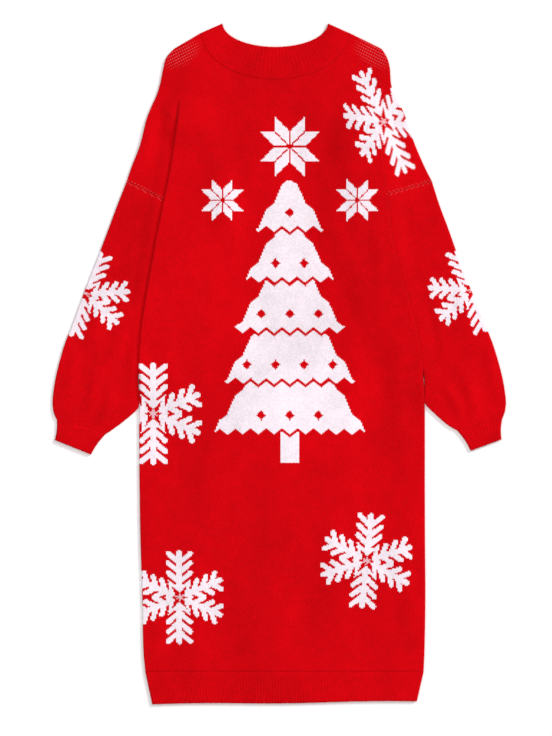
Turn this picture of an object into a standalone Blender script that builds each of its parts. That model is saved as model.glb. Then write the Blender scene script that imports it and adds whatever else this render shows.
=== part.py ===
"""Knitted sweater dress with dropped shoulders, laid flat on its back, front up.

Metres, +Z up, neck towards +Y. The side of each panel is folded in three, so that the body lies
over the top of the sleeve: body, flap and dropped shoulder from the top down on the front, and
the same mirrored on the back. The sleeve lies in the pocket between the two flaps.
"""

import math
from collections import namedtuple

import bmesh
import bpy
from mathutils import Matrix, Vector

MM = 0.001

# Cloth
WALL = 2.2 * MM
PITCH = 2.8 * MM  # from the middle of one layer to the middle of the next
SEAM_GAP = 0.3 * MM
FLOOR_MID = WALL / 2  # middle of the layer that lies on the floor

# Ribbing
RIB_PITCH = 4.4 * MM
RIB_HEIGHT = 0.8 * MM
COLLAR_RIBS = 48

# Folds
ARC_STEPS = 4  # facets round a full fold
EDGE_STEPS = 2  # facets round the rolled edge at a side or shoulder seam
PLEAT_CLOSES = 90 * MM  # length over which the side fold turns from flat to shut
SLOPE_WIDTH = 26 * MM  # how far sleeve and shoulder take to come down off the folded stack
BODY_SLOPE_WIDTH = 46 * MM  # how far the body takes to come up onto it
OVERHANG = 2 * MM  # cloth stays at the height of the stack this far past the crease
SMALLEST_FLAP = 0.6 * MM
FLAP_LIFT = 1.0 * MM  # most that the flap adds to the fold's height while the fold is half shut
FOLD_AXIS_LENGTH = 4 * MM  # the fold's first row takes its direction from this far down the crease
CREASE_STEP = 2 * MM
FLAT_UNDER = MM  # the shoulder's columns are evenly spaced where the stack is lower than this
LEAST_COLUMN = 5 * MM
LEAST_BURIED = 3 * MM
POCKET_END_EASE = 2  # the side seam's gap opens by this many seam gaps towards the pocket's end
NECK_STEP = 3 * MM  # between the first rows along the collar's seam
MERGE_WITHIN = 0.01 * MM  # points of a panel's grid this close are one
SHARP_ANGLE = math.radians(60)
SMALL_ANGLE = 0.01  # either side of a point, to take the collar seam's direction there

# Heights above the bottom of the hem
HEM_TOP = 49.3 * MM
POCKET_END = 505 * MM  # the side seam comes out from under the body here
BODY_SETTLES = 436 * MM  # below this the body's side is a plain two-layer edge
HEM_CORNER = {"left": (199.7 * MM, 0.0), "right": (207.6 * MM, 4.6 * MM)}

# Neck: half ellipses, for the opening and for the collar's seam
NECK_CENTRE = Vector((-10.5 * MM, 1048.0 * MM))
NECK_HALF_WIDTH = 80.9 * MM
NECK_DEPTH = 36.5 * MM
COLLAR_SEAM_CENTRE = Vector((-10.7 * MM, 1033.3 * MM))
COLLAR_SEAM_HALF_WIDTH = 114.0 * MM
COLLAR_SEAM_DEPTH = 72.0 * MM

# Distances from the body's centre line, in millimetres, at heights above the hem
EdgeRow = namedtuple("EdgeRow", "height left right")
SHOULDER_EDGE = [
    EdgeRow(804.6, 239.0, 230.8),
    EdgeRow(825.4, 231.8, 220.2),
    EdgeRow(862.4, 217.9, 204.1),
    EdgeRow(899.4, 208.7, 191.7),
    EdgeRow(917.8, 201.7, 184.0),
    EdgeRow(936.3, 193.3, 173.2),
    EdgeRow(954.8, 187.6, 167.9),
    EdgeRow(979.5, 182.5, 166.0),
    EdgeRow(994.8, 178.0, 161.7),
    EdgeRow(1008.7, 166.3, 153.4),
]
BODY_EDGE = [
    EdgeRow(49.3, 210.2, 217.9),
    EdgeRow(83.2, 213.3, 219.4),
    EdgeRow(160.2, 214.8, 220.7),
    EdgeRow(252.6, 217.8, 220.2),
    EdgeRow(346.5, 219.3, 219.9),
    EdgeRow(437.4, 219.9, 219.9),
    EdgeRow(474.3, 220.2, 219.2),
    EdgeRow(517.4, 220.2, 216.4),
    EdgeRow(569.8, 217.4, 209.0),
    EdgeRow(611.4, 211.9, 198.7),
    EdgeRow(651.4, 205.1, 186.0),
    EdgeRow(705.3, 195.7, 172.9),
    EdgeRow(768.5, 183.4, 163.6),
    EdgeRow(820.8, 172.5, 157.5),
    EdgeRow(885.5, 162.8, 149.8),
    EdgeRow(945.6, 155.5, 147.0),
]

# Places on each side as (distance from the centre line, height)
SidePlaces = namedtuple("SidePlaces", "sign apex underarm crease_top")
SIDES = {
    "left": SidePlaces(-1, (155.5 * MM, 945.6 * MM), (104.7 * MM, 739.2 * MM), 138 * MM),
    "right": SidePlaces(1, (147.0 * MM, 942.0 * MM), (92.0 * MM, 765.0 * MM), 120 * MM),
}

# Sections of each sleeve from armhole to cuff, in millimetres from the centre line and the hem.
# The inner fold is hidden in the pocket down to the row at about 505.
SleeveRow = namedtuple("SleeveRow", "outer_out outer_up inner_out inner_up lift puff")
SLEEVE_ROWS = {
    "left": [
        SleeveRow(239.0, 804.6, 107.7, 739.2, 1.0, 0.0),
        SleeveRow(252.6, 770.0, 126.5, 700.0, 1.0, 0.0),
        SleeveRow(266.4, 733.0, 145.7, 660.0, 1.0, 0.0),
        SleeveRow(280.3, 696.1, 162.9, 624.0, 1.0, 0.2),
        SleeveRow(294.9, 659.1, 178.3, 592.0, 1.0, 0.4),
        SleeveRow(308.8, 622.2, 193.0, 562.0, 1.0, 0.6),
        SleeveRow(324.5, 580.0, 208.7, 531.0, 1.0, 0.8),
        SleeveRow(336.5, 548.0, 224.6, 512.0, 1.0, 1.0),
        SleeveRow(348.0, 504.0, 224.4, 480.0, 0.3, 1.0),
        SleeveRow(353.0, 470.0, 224.4, 458.0, 0.0, 1.0),
        SleeveRow(352.0, 452.0, 245.0, 437.0, 0.0, 0.8),
        SleeveRow(349.0, 443.0, 262.0, 424.5, 0.0, 0.4),
        SleeveRow(346.5, 438.9, 271.7, 415.8, 0.0, 0.0),
    ],
    "right": [
        SleeveRow(230.8, 804.6, 95.0, 765.0, 1.0, 0.0),
        SleeveRow(241.8, 770.0, 114.0, 725.0, 1.0, 0.0),
        SleeveRow(255.6, 733.0, 133.0, 685.0, 1.0, 0.0),
        SleeveRow(268.7, 696.1, 149.6, 650.0, 1.0, 0.2),
        SleeveRow(282.6, 659.1, 166.3, 615.0, 1.0, 0.4),
        SleeveRow(297.2, 622.2, 182.9, 580.0, 1.0, 0.6),
        SleeveRow(315.5, 578.0, 203.5, 537.0, 1.0, 0.8),
        SleeveRow(327.0, 547.0, 221.9, 512.0, 1.0, 1.0),
        SleeveRow(339.0, 504.0, 223.4, 482.0, 0.3, 1.0),
        SleeveRow(344.5, 470.0, 224.0, 464.0, 0.0, 1.0),
        SleeveRow(344.0, 455.0, 238.7, 446.6, 0.0, 0.8),
        SleeveRow(342.0, 447.0, 255.6, 432.0, 0.0, 0.4),
        SleeveRow(338.8, 438.9, 270.0, 421.2, 0.0, 0.0),
    ],
}
SLEEVE_PUFF = 2.2 * MM  # extra air between the sleeve's layers near the cuff
CuffRow = namedtuple("CuffRow", "outer_out outer_up inner_out inner_up")
CUFF_ROWS = {
    "left": [CuffRow(346.5, 438.9, 271.7, 415.8), CuffRow(349.6, 406.6, 294.1, 384.2)],
    "right": [CuffRow(338.8, 438.9, 270.0, 421.2), CuffRow(337.9, 407.6, 290.3, 390.1)],
}
CUFF_WAIST = 1.5 * MM  # the cuff's sides pull in by this halfway down

# Rows of the panels
PLEAT_ROWS = [0.0, 0.05, 0.10, 0.15, 0.21, 0.28, 0.36, 0.46, 0.57, 0.69, 0.84, 1.0]
POCKET_ROWS = [0.17, 0.34, 0.51, 0.68, 0.84, 0.97]  # share of the way down to the pocket's end
BODY_ROWS = [505, 488, 470, 452, 436, 370, 290, 210, 130, 49.3]
TOP_ROWS = [0.0, 0.30, 0.62]  # share of the way from the shoulder seam to the fold's start

NECK_COLUMNS = 7  # from the centre line to the end of the collar's seam
MID_COLUMNS = NECK_COLUMNS + 1
SLOPE_SHARES = [0.0, 0.40, 0.75, 1.0]
SHOULDER_SLOPE_SHARES = [0.0, 0.5, 1.0]
SHOULDER_COLUMNS = len(SHOULDER_SLOPE_SHARES) + 1
COLLAR_ROWS = [0.0, 0.5, 1.0]  # share of the way from the neck's edge to the seam
COLLAR_BACK_EVERY = 4  # the collar's plain underside has one column for so many on the front
CUFF_SHARES = [0.0, 0.5, 1.0]  # share of the way from the sleeve's seam to the cuff's end
CUFF_BACK_COLUMNS = 4
HEM_BACK_COLUMNS = 8

RED = (0.62, 0.006, 0.012, 1.0)
DEEP_RED = (0.52, 0.005, 0.010, 1.0)


def smooth(share):
    """0 to 1 with level ends."""
    share = min(max(share, 0.0), 1.0)
    return share * share * (3 - 2 * share)


def read_table(table, column, height):
    """The column's value at a height, on a smooth curve through the rows, in metres."""
    heights = [row.height * MM for row in table]
    values = [getattr(row, column) * MM for row in table]
    last = len(heights) - 1
    i = min(max(sum(h <= height for h in heights) - 1, 0), last - 1)

    def slope(k):
        low, high = max(k - 1, 0), min(k + 1, last)
        return (values[high] - values[low]) / (heights[high] - heights[low])

    span = heights[i + 1] - heights[i]
    t = (height - heights[i]) / span
    t2, t3 = t * t, t * t * t
    return (
        (2 * t3 - 3 * t2 + 1) * values[i]
        + (t3 - 2 * t2 + t) * span * slope(i)
        + (3 * t2 - 2 * t3) * values[i + 1]
        + (t3 - t2) * span * slope(i + 1)
    )


def place(side, out, up):
    """A point in plan from its distance out from the centre line and its height."""
    return Vector((SIDES[side].sign * out, up))


def crease_at(side, height):
    return place(side, read_table(BODY_EDGE, side, height), height)


def crease_after(side, length):
    """The point of the body's crease this far along it from the fold's start."""
    height = SIDES[side].apex[1]
    point = crease_at(side, height)
    while length > CREASE_STEP:
        height -= CREASE_STEP
        following = crease_at(side, height)
        length -= (following - point).length
        point = following
    return crease_at(side, height - max(length, 0.0))


def past_crease(side, point):
    """How far outside the body's crease a point lies."""
    return SIDES[side].sign * point.x - read_table(BODY_EDGE, side, point.y)


def hidden_length(side, start, along, whole):
    """How much of a line that runs outwards from start lies under the body."""
    hidden = 0.0
    while hidden < whole and past_crease(side, start + along * hidden) < 0:
        hidden += MM
    return hidden


def stack_height(past, rise):
    """Height above the floor of a layer that comes down off the stack this far past the crease."""
    return rise * (1 - smooth((past - OVERHANG) / SLOPE_WIDTH))


def ellipse(centre, half_width, depth, angle):
    return centre + Vector((half_width * math.cos(angle), -depth * math.sin(angle)))


def collar_seam(angle):
    return ellipse(COLLAR_SEAM_CENTRE, COLLAR_SEAM_HALF_WIDTH, COLLAR_SEAM_DEPTH, angle)


def neck_edge(angle):
    return ellipse(NECK_CENTRE, NECK_HALF_WIDTH, NECK_DEPTH, angle)


def walk(steps):
    """Points (outward, down) of a path made of (length, heading) steps, heading 0 being outward."""
    points = [(0.0, 0.0)]
    for length, heading in steps:
        out, down = points[-1]
        points.append((out + length * math.cos(heading), down + length * math.sin(heading)))
    return points


def arc_headings(turn):
    return [turn * (i + 0.5) / ARC_STEPS for i in range(ARC_STEPS)]


ARC_STEP = PITCH / sum(math.sin(heading) for heading in arc_headings(math.pi))
ARC_REACH = max(out for out, _ in walk([(ARC_STEP, h) for h in arc_headings(math.pi)])) + WALL / 2
EDGE_HEADINGS = [math.pi / 2 * (i + 1) / EDGE_STEPS for i in range(EDGE_STEPS)]
EDGE_DROP = sum(math.sin(heading) for heading in EDGE_HEADINGS)


def edge_steps(drop):
    """Steps of a rolled edge that comes down by drop and ends heading straight down."""
    return [(drop / EDGE_DROP, heading) for heading in EDGE_HEADINGS]


def edge_reach(drop):
    return walk(edge_steps(drop))[-1][0] + WALL / 2


# A point of a panel in plan, with its height on the front and on the back
PanelPoint = namedtuple("PanelPoint", "plan front back")


def fan_out(start, along, path, front_top, back_low):
    """Panel points of a walked path: down from the front's height, up from the back's."""
    return [
        PanelPoint(start + along * out, front_top - down, back_low + down) for out, down in path
    ]


def rolled_edge(inner, along, front, back, drop):
    """The rolled edge that brings front and back together at a seam, without its first point."""
    return fan_out(inner, along, walk(edge_steps(drop)), front, back)[1:]


def shoulder_run(side, first, corner, rise):
    """From the fold's last point across the dropped shoulder to its rolled outer edge."""
    along = (corner - first.plan).normalized()
    edge_drop = (PITCH - SEAM_GAP) / 2
    end = corner - along * edge_reach(edge_drop)
    whole = (end - first.plan).length
    hidden = hidden_length(side, first.plan, along, whole)
    reaches = [whole * (i + 1) / SHOULDER_COLUMNS for i in range(SHOULDER_COLUMNS)]
    if rise > FLAT_UNDER:
        for i, share in enumerate(SHOULDER_SLOPE_SHARES):
            room = LEAST_COLUMN * (SHOULDER_COLUMNS - 1 - i)
            reaches[i] = min(hidden + OVERHANG + SLOPE_WIDTH * share, whole - room)
    points = []
    for reach in reaches:
        low = FLOOR_MID + stack_height(reach - hidden, rise)
        points.append(PanelPoint(first.plan + along * reach, low + PITCH, low))
    last = points[-1]
    return points + rolled_edge(last.plan, along, last.front, last.back, edge_drop)


def pleat_row(side, share):
    """Points from the body's crease outwards, at a share of the way from the fold's start to the
    underarm, and the rise of the folded stack there."""
    places = SIDES[side]
    apex, underarm = place(side, *places.apex), place(side, *places.underarm)
    length = share * (underarm - apex).length
    inward = (underarm - apex).normalized()
    crease = crease_after(side, length)
    hidden_crease = apex + inward * length
    axis_length = max(length, FOLD_AXIS_LENGTH)
    along = (crease_after(side, axis_length) - apex - inward * axis_length).normalized()
    turn = math.pi * smooth(length / PLEAT_CLOSES)
    flap = (crease - hidden_crease).length - 2 * ARC_REACH
    if turn:
        flap = min(flap, FLAP_LIFT / math.sin(turn)) if turn < math.pi else flap
    flap = max(flap, SMALLEST_FLAP)
    steps = [(ARC_STEP, heading) for heading in arc_headings(turn)]
    path = walk(steps + [(flap, turn)] + steps[::-1])
    rise = path[-1][1]
    flat_half = ARC_STEPS * ARC_STEP + flap / 2
    inset = flat_half + (ARC_REACH - flat_half) * turn / math.pi
    start = crease - along * inset
    folded = fan_out(start, along, path, FLOOR_MID + PITCH + 2 * rise, FLOOR_MID)
    outer_height = places.apex[1] + (SHOULDER_EDGE[0].height * MM - places.apex[1]) * share
    outer = place(side, read_table(SHOULDER_EDGE, side, outer_height), outer_height)
    return folded + shoulder_run(side, folded[-1], outer, rise), rise, hidden_crease


def eased_gap(share):
    """The side seam's gap, wider where the seam turns out from under the body."""
    return SEAM_GAP * (1 + share * POCKET_END_EASE)


def pocket_row(side, share):
    """Points from the body's crease round the flap to the side seam, below the underarm."""
    places = SIDES[side]
    apex, seam_top = place(side, *places.apex), place(side, *places.underarm)
    start_height = crease_after(side, (seam_top - apex).length).y
    crease = crease_at(side, start_height + (POCKET_END - start_height) * share)
    along = Vector((places.sign, 0.0))
    seam_end = crease_at(side, POCKET_END) - along * ARC_REACH
    seam = seam_top + (seam_end - seam_top) * share
    flap = max(abs(crease.x - seam.x) - ARC_REACH, SMALLEST_FLAP)
    seam_drop = (3 * PITCH - eased_gap(share)) / 2
    arc = [(ARC_STEP, heading) for heading in arc_headings(math.pi)]
    back_turn = [(length, math.pi - heading) for length, heading in edge_steps(seam_drop)]
    path = walk(arc + [(flap, math.pi)] + back_turn)
    start = crease - along * ARC_REACH
    return fan_out(start, along, path, FLOOR_MID + 5 * PITCH, FLOOR_MID), 2 * PITCH, seam


def side_row(side, height):
    """Points of the plain two-layer edge of the body below the pocket."""
    settled = smooth((POCKET_END - height) / (POCKET_END - BODY_SETTLES))
    rise = 2 * PITCH * (1 - settled)
    front = FLOOR_MID + PITCH + 2 * rise
    along = Vector((SIDES[side].sign, 0.0))
    drop = (front - FLOOR_MID - eased_gap(1 - settled)) / 2
    inner = crease_at(side, height) - along * edge_reach(drop)
    first = PanelPoint(inner, front, FLOOR_MID)
    return [first] + rolled_edge(inner, along, front, FLOOR_MID, drop), rise, inner


def middle_run(side, centre, first, rise, hidden):
    """Points from beside the centre line to the crease, coming up onto the folded stack."""
    outward = Vector((SIDES[side].sign, 0.0))
    whole = (first.plan - centre).length
    along = (first.plan - centre).normalized()
    buried = max((first.plan - hidden).dot(outward) + ARC_REACH, LEAST_BURIED)
    slope_end = whole - buried
    slope_start = slope_end - BODY_SLOPE_WIDTH
    plain = MID_COLUMNS - len(SLOPE_SHARES)
    reaches = [slope_start * i / plain for i in range(1, plain)]
    reaches += [slope_start + BODY_SLOPE_WIDTH * share for share in SLOPE_SHARES]
    points = []
    for i, reach in enumerate(reaches):
        climb = smooth(SLOPE_SHARES[i - plain + 1]) if i >= plain - 1 else 0.0
        front = FLOOR_MID + PITCH + 2 * rise * climb
        points.append(PanelPoint(centre + along * reach, front, FLOOR_MID))
    return points


def shoulder_columns(side, lower):
    """Plan points of the topmost row, one above each point of the fold's first row, up to where
    the outer edge's roll begins."""
    angle_end = math.pi if side == "left" else 0.0
    points = []
    for i in range(1, NECK_COLUMNS + 1):
        points.append(collar_seam(math.pi / 2 + (angle_end - math.pi / 2) * i / NECK_COLUMNS))
    notch = points[-1]
    end = shoulder_corner(side)[0]
    crease_share = (SIDES[side].crease_top - abs(notch.x)) / (abs(end.x) - abs(notch.x))
    rest = lower[NECK_COLUMNS:-EDGE_STEPS]
    first, last = rest[0].plan, rest[-1].plan
    for point in rest:
        share = (point.plan - first).length / (last - first).length
        share = crease_share + (1 - crease_share) * share
        points.append(notch + (end - notch) * share)
    return points


def shoulder_corner(side):
    """Where the outer edge's roll starts on the shoulder seam's line, and two steps from there:
    outwards along that line and down along the outline. Each step is one unit further from the
    line that the other follows."""
    rows = SHOULDER_EDGE[-1], SHOULDER_EDGE[-2]
    corner, below = [place(side, getattr(row, side) * MM, row.height * MM) for row in rows]
    notch = collar_seam(math.pi if side == "left" else 0.0)
    along, down = (corner - notch).normalized(), (below - corner).normalized()
    square = abs(along.cross(down))
    out_step, down_step = along / square, down / square
    return corner - out_step * edge_reach((PITCH - SEAM_GAP) / 2), out_step, down_step


def top_rows(side, centre_low, lower):
    """Rows from the shoulder seam down to the fold's first row, and the points on the centre."""
    tops = shoulder_columns(side, lower)
    centre_top = collar_seam(math.pi / 2)
    flat_front = FLOOR_MID + PITCH
    roll = walk(edge_steps((PITCH - SEAM_GAP) / 2))
    inset = roll[-1][0] + WALL / 2
    seam_line = (tops[-1] - tops[NECK_COLUMNS - 1]).normalized()
    inward = Vector((seam_line.y, -seam_line.x)) * SIDES[side].sign
    out_step, down_step = shoulder_corner(side)[1:]
    outward = Vector((SIDES[side].sign, 0.0))
    down_neck = Vector((0.0, -1.0)) / abs(seam_line.x)
    rows = []
    for level in range(EDGE_STEPS):
        out, down = roll[EDGE_STEPS - level]
        row = []
        for i, top in enumerate(tops):
            if i < NECK_COLUMNS - 1:
                shift = (lower[i].plan - top).normalized() * (NECK_STEP * level)
                row.append(PanelPoint(top + shift, flat_front, FLOOR_MID))
            elif i == NECK_COLUMNS - 1:
                shift = down_neck * (inset - out)
                row.append(PanelPoint(top + shift, flat_front, FLOOR_MID))
            else:
                shift = (down_step if i == len(tops) - 1 else inward) * (inset - out)
                row.append(PanelPoint(top + shift, flat_front - down, FLOOR_MID + down))
        last = row[-1].plan
        for side_out, side_down in roll[1:]:
            fall = max(down, side_down)
            plan = last + out_step * side_out
            row.append(PanelPoint(plan, flat_front - fall, FLOOR_MID + fall))
        shift = (centre_low - centre_top).normalized() * (NECK_STEP * level)
        rows.append((PanelPoint(centre_top + shift, flat_front, FLOOR_MID), row))
    for share in TOP_ROWS:
        row = []
        for i, top in enumerate(tops):
            shift = (down_step if i == len(tops) - 1 else inward) * inset
            if i < NECK_COLUMNS - 1:
                shift = (lower[i].plan - top).normalized() * (NECK_STEP * EDGE_STEPS)
            elif i == NECK_COLUMNS - 1:
                shift = down_neck * inset
            begin = top + shift
            plan = begin + (lower[i].plan - begin) * share
            if i == len(tops) - 1 and share > 0.0:
                outline = place(side, read_table(SHOULDER_EDGE, side, plan.y), plan.y)
                plan = outline - outward * inset
            row.append(PanelPoint(plan, lower[i].front, lower[i].back))
        last = row[-1].plan
        for side_out, side_down in roll[1:]:
            plan = last + (out_step if share == 0.0 else outward) * side_out
            row.append(PanelPoint(plan, flat_front - side_down, FLOOR_MID + side_down))
        shift = (centre_low - centre_top).normalized() * (NECK_STEP * EDGE_STEPS)
        centre = centre_top + shift + (centre_low - centre_top - shift) * share
        rows.append((PanelPoint(centre, flat_front, FLOOR_MID), row))
    return rows


def half_rows(side):
    """All rows of one half of a panel, top to hem: (centre height, points outwards)."""
    rows = [pleat_row(side, share) for share in PLEAT_ROWS]
    rows += [pocket_row(side, share) for share in POCKET_ROWS]
    return rows + [side_row(side, height * MM) for height in BODY_ROWS]


def panel_rows():
    """Rows of a whole panel as (centre point, left points, right points)."""
    halves = {side: half_rows(side) for side in SIDES}
    rows = []
    for left, right in zip(halves["left"], halves["right"]):
        centre = Vector((0.0, (left[0][0].plan.y + right[0][0].plan.y) / 2))
        middle = PanelPoint(centre, FLOOR_MID + PITCH, FLOOR_MID)
        both = []
        for side, (points, rise, hidden) in (("left", left), ("right", right)):
            both.append(middle_run(side, centre, points[0], rise, hidden) + points)
        rows.append((middle, both[0], both[1]))
    first = rows[0]
    tops = [top_rows(side, first[0].plan, first[i + 1]) for i, side in enumerate(SIDES)]
    above = [(left[0], left[1], right[1]) for left, right in zip(tops[0], tops[1])]
    return above + rows


def new_object(name, mesh, colour, collection):
    material = bpy.data.materials.new(name + "_knit")
    material.use_nodes = True
    shader = material.node_tree.nodes["Principled BSDF"]
    shader.inputs["Base Color"].default_value = colour
    shader.inputs["Roughness"].default_value = 0.9
    shader.inputs["Metallic"].default_value = 0.0
    mesh.materials.append(material)
    obj = bpy.data.objects.new(name, mesh)
    collection.objects.link(obj)
    return obj


def mesh_from(name, vertices, faces):
    mesh = bpy.data.meshes.new(name)
    mesh.from_pydata([tuple(v) for v in vertices], [], faces)
    work = bmesh.new()
    work.from_mesh(mesh)
    bmesh.ops.recalc_face_normals(work, faces=work.faces)
    work.to_mesh(mesh)
    work.free()
    mesh.shade_smooth()
    mesh.set_sharp_from_angle(angle=SHARP_ANGLE)
    return mesh


def face_without_repeats(corners):
    kept = [c for i, c in enumerate(corners) if c != corners[i - 1]]
    return kept if len(set(kept)) > 2 else None


def panel(name, layer, colour, collection):
    """The front or the back as one open surface, given its wall by Solidify."""
    rows = panel_rows()
    top_count = len(rows) - len(PLEAT_ROWS) - len(POCKET_ROWS) - len(BODY_ROWS)
    underarm_row = top_count + len(PLEAT_ROWS) - 1
    pocket_last = underarm_row + len(POCKET_ROWS)
    flap_end = MID_COLUMNS + ARC_STEPS + 1 + EDGE_STEPS
    edge_end = MID_COLUMNS + EDGE_STEPS
    full_end = MID_COLUMNS + 2 * ARC_STEPS + 1 + SHOULDER_COLUMNS + EDGE_STEPS
    vertices = []
    index = {}

    def vertex(row, column):
        """Column 0 is the centre, negative columns are on the left."""
        if row > pocket_last:
            column = max(-edge_end, min(edge_end, column))
        middle, left, right = rows[row]
        point = middle
        if column:
            point = (right if column > 0 else left)[abs(column) - 1]
        where = (*point.plan, getattr(point, layer))
        key = tuple(round(c / MERGE_WITHIN) for c in where)
        if key not in index:
            index[key] = len(vertices)
            vertices.append(where)
        return index[key]

    faces = []
    for row in range(len(rows) - 1):
        reach = full_end if row < underarm_row else flap_end
        if row > pocket_last:
            reach = edge_end
        for column in range(-reach, reach):
            corners = [
                vertex(row, column),
                vertex(row, column + 1),
                vertex(row + 1, column + 1),
                vertex(row + 1, column),
            ]
            face = face_without_repeats(corners)
            if face:
                faces.append(face)
    obj = new_object(name, mesh_from(name, vertices, faces), colour, collection)
    wall = obj.modifiers.new("wall", "SOLIDIFY")
    wall.thickness = WALL
    wall.offset = 0.0
    wall.use_rim = True
    return obj


# A point of a tube's section: on the wall's outer face and on its inner face
WallPoint = namedtuple("WallPoint", "outer inner")


def wall_point(plan, height, normal, extra=0.0):
    middle = Vector((plan.x, plan.y, height))
    return WallPoint(middle + normal * (WALL / 2 + extra), middle - normal * (WALL / 2))


def tube_ring(front, back, ribs=0):
    """Section of a flat tube. front and back are (plan, height) from the inner fold to the outer
    one, and where ribs is given, every other front point is raised."""
    up = Vector((0.0, 0.0, 1.0))
    ring = []
    for i, (plan, height) in enumerate(front):
        raised = RIB_HEIGHT if ribs and i % 2 else 0.0
        ring.append(wall_point(plan, height, up, raised))
    ring += fold_round(front[-1], back[-1], (front[-1][0] - front[-2][0]).normalized())
    ring += [wall_point(plan, height, -up) for plan, height in reversed(back)]
    ring += fold_round(front[0], back[0], (front[0][0] - front[1][0]).normalized())[::-1]
    return ring


def fold_round(upper, lower, along):
    """Points round the fold from the upper layer to the lower one, without its two ends."""
    radius = (upper[1] - lower[1]) / 2
    centre = (upper[1] + lower[1]) / 2
    points = []
    for i in range(1, ARC_STEPS):
        angle = math.pi * i / ARC_STEPS
        plan = upper[0] + along * (radius * math.sin(angle))
        normal = Vector((*(along * math.sin(angle)), math.cos(angle)))
        points.append(wall_point(plan, centre + radius * math.cos(angle), normal))
    return points


def tube(name, rings, colour, collection):
    """A closed solid: a tube's wall, open at both ends, lofted through its rings."""
    count = len(rings[0])
    vertices = [point.outer for ring in rings for point in ring]
    inner_start = len(vertices)
    vertices += [point.inner for ring in rings for point in ring]
    faces = []
    for r in range(len(rings) - 1):
        for i in range(count):
            a, b = r * count + i, r * count + (i + 1) % count
            c, d = b + count, a + count
            faces.append([a, b, c, d])
            faces.append([inner_start + k for k in (d, c, b, a)])
    for r in (0, len(rings) - 1):
        for i in range(count):
            a, b = r * count + i, r * count + (i + 1) % count
            faces.append([a, b, inner_start + b, inner_start + a])
    return new_object(name, mesh_from(name, vertices, faces), colour, collection)


def sleeve_ring(side, row):
    """One section of a sleeve, high where it lies in the pocket and low outside it."""
    inner = place(side, row.inner_out * MM, row.inner_up * MM)
    outer = place(side, row.outer_out * MM, row.outer_up * MM)
    along = (outer - inner).normalized()
    whole = (outer - inner).length - ARC_REACH
    hidden = hidden_length(side, inner, along, whole)
    marks = [0.0, (hidden + OVERHANG) / 2]
    marks += [hidden + OVERHANG + SLOPE_WIDTH * share for share in SHOULDER_SLOPE_SHARES]
    marks += [(marks[-1] + whole) / 2, whole]
    front, back = [], []
    for reach in marks:
        past = reach - hidden
        bulge = SLEEVE_PUFF * row.puff * math.sin(math.pi * smooth(past / (whole - hidden)))
        low = FLOOR_MID + stack_height(past, 2 * PITCH * row.lift)
        front.append((inner + along * reach, low + PITCH + bulge))
        back.append((inner + along * reach, low))
    return tube_ring(front, back)


def shifted_row(row, following, distance):
    """The row moved towards the following one, so that a seam's gap opens there."""
    share = distance / ((following.outer_up - row.outer_up) * MM)
    values = [a + (b - a) * abs(share) for a, b in zip(row, following)]
    return type(row)(*values)


def sleeve(side, collection):
    rows = list(SLEEVE_ROWS[side])
    rows[0] = shifted_row(rows[0], rows[1], 2 * SEAM_GAP)
    rings = [sleeve_ring(side, row) for row in rows]
    return tube("sleeve_" + side, rings, RED, collection)


def cuff(side, collection):
    top, end = CUFF_ROWS[side]
    rib_count = round((end.outer_out - end.inner_out) * MM / RIB_PITCH)
    rings = []
    for share in CUFF_SHARES:
        row = CuffRow(*[a + (b - a) * share for a, b in zip(top, end)])
        inner = place(side, row.inner_out * MM, row.inner_up * MM)
        outer = place(side, row.outer_out * MM, row.outer_up * MM)
        along = (outer - inner).normalized()
        waist = CUFF_WAIST * math.sin(math.pi * share)
        down = Vector((along.y, -along.x)) * SIDES[side].sign
        clear = down * (2 * SEAM_GAP if share == 0.0 else 0.0)
        first = inner + along * (ARC_REACH + waist) + clear
        last = outer - along * (ARC_REACH + waist) + clear
        columns = 2 * rib_count
        front = [(first + (last - first) * i / columns, FLOOR_MID + PITCH) for i in range(columns + 1)]
        step = (last - first) / CUFF_BACK_COLUMNS
        back = [(first + step * i, FLOOR_MID) for i in range(CUFF_BACK_COLUMNS + 1)]
        rings.append(tube_ring(front, back, ribs=rib_count))
    return tube("cuff_" + side, rings, DEEP_RED, collection)


def polygon_seam(angle):
    """The collar's seam as the panels have it: straight between their neck columns."""
    step = math.pi / (2 * NECK_COLUMNS)
    share = angle / step
    low = min(math.floor(share), 2 * NECK_COLUMNS - 1)
    first, second = collar_seam(low * step), collar_seam((low + 1) * step)
    return first + (second - first) * (share - low)


def collar(collection):
    """The ribbed neckband, front over back, folded at the shoulders. Ribs run down from the neck."""
    columns = 2 * COLLAR_RIBS
    rings = []
    for share in COLLAR_ROWS:
        front, back = [], []
        for i in range(columns + 1):
            angle = math.pi - math.pi * i / columns
            top, seam = neck_edge(angle), polygon_seam(angle)
            inward = (top - seam).normalized()
            across = collar_seam(angle + SMALL_ANGLE) - collar_seam(angle - SMALL_ANGLE)
            square = abs(inward.cross(across.normalized()))
            low = seam + inward * (1.5 * SEAM_GAP / square)
            front.append((top + (low - top) * share, FLOOR_MID + PITCH))
            if i % COLLAR_BACK_EVERY == 0:
                back.append((top + (low - top) * share, FLOOR_MID))
        rings.append(tube_ring(front, back, ribs=COLLAR_RIBS))
    return tube("collar", rings, DEEP_RED, collection)


def hem_corners(side):
    """Outer corners of the hem, in plan: at its seam with the panel and at its lower edge."""
    upper = crease_at(side, HEM_TOP - 2 * SEAM_GAP)
    return upper, place(side, *HEM_CORNER[side])


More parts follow.
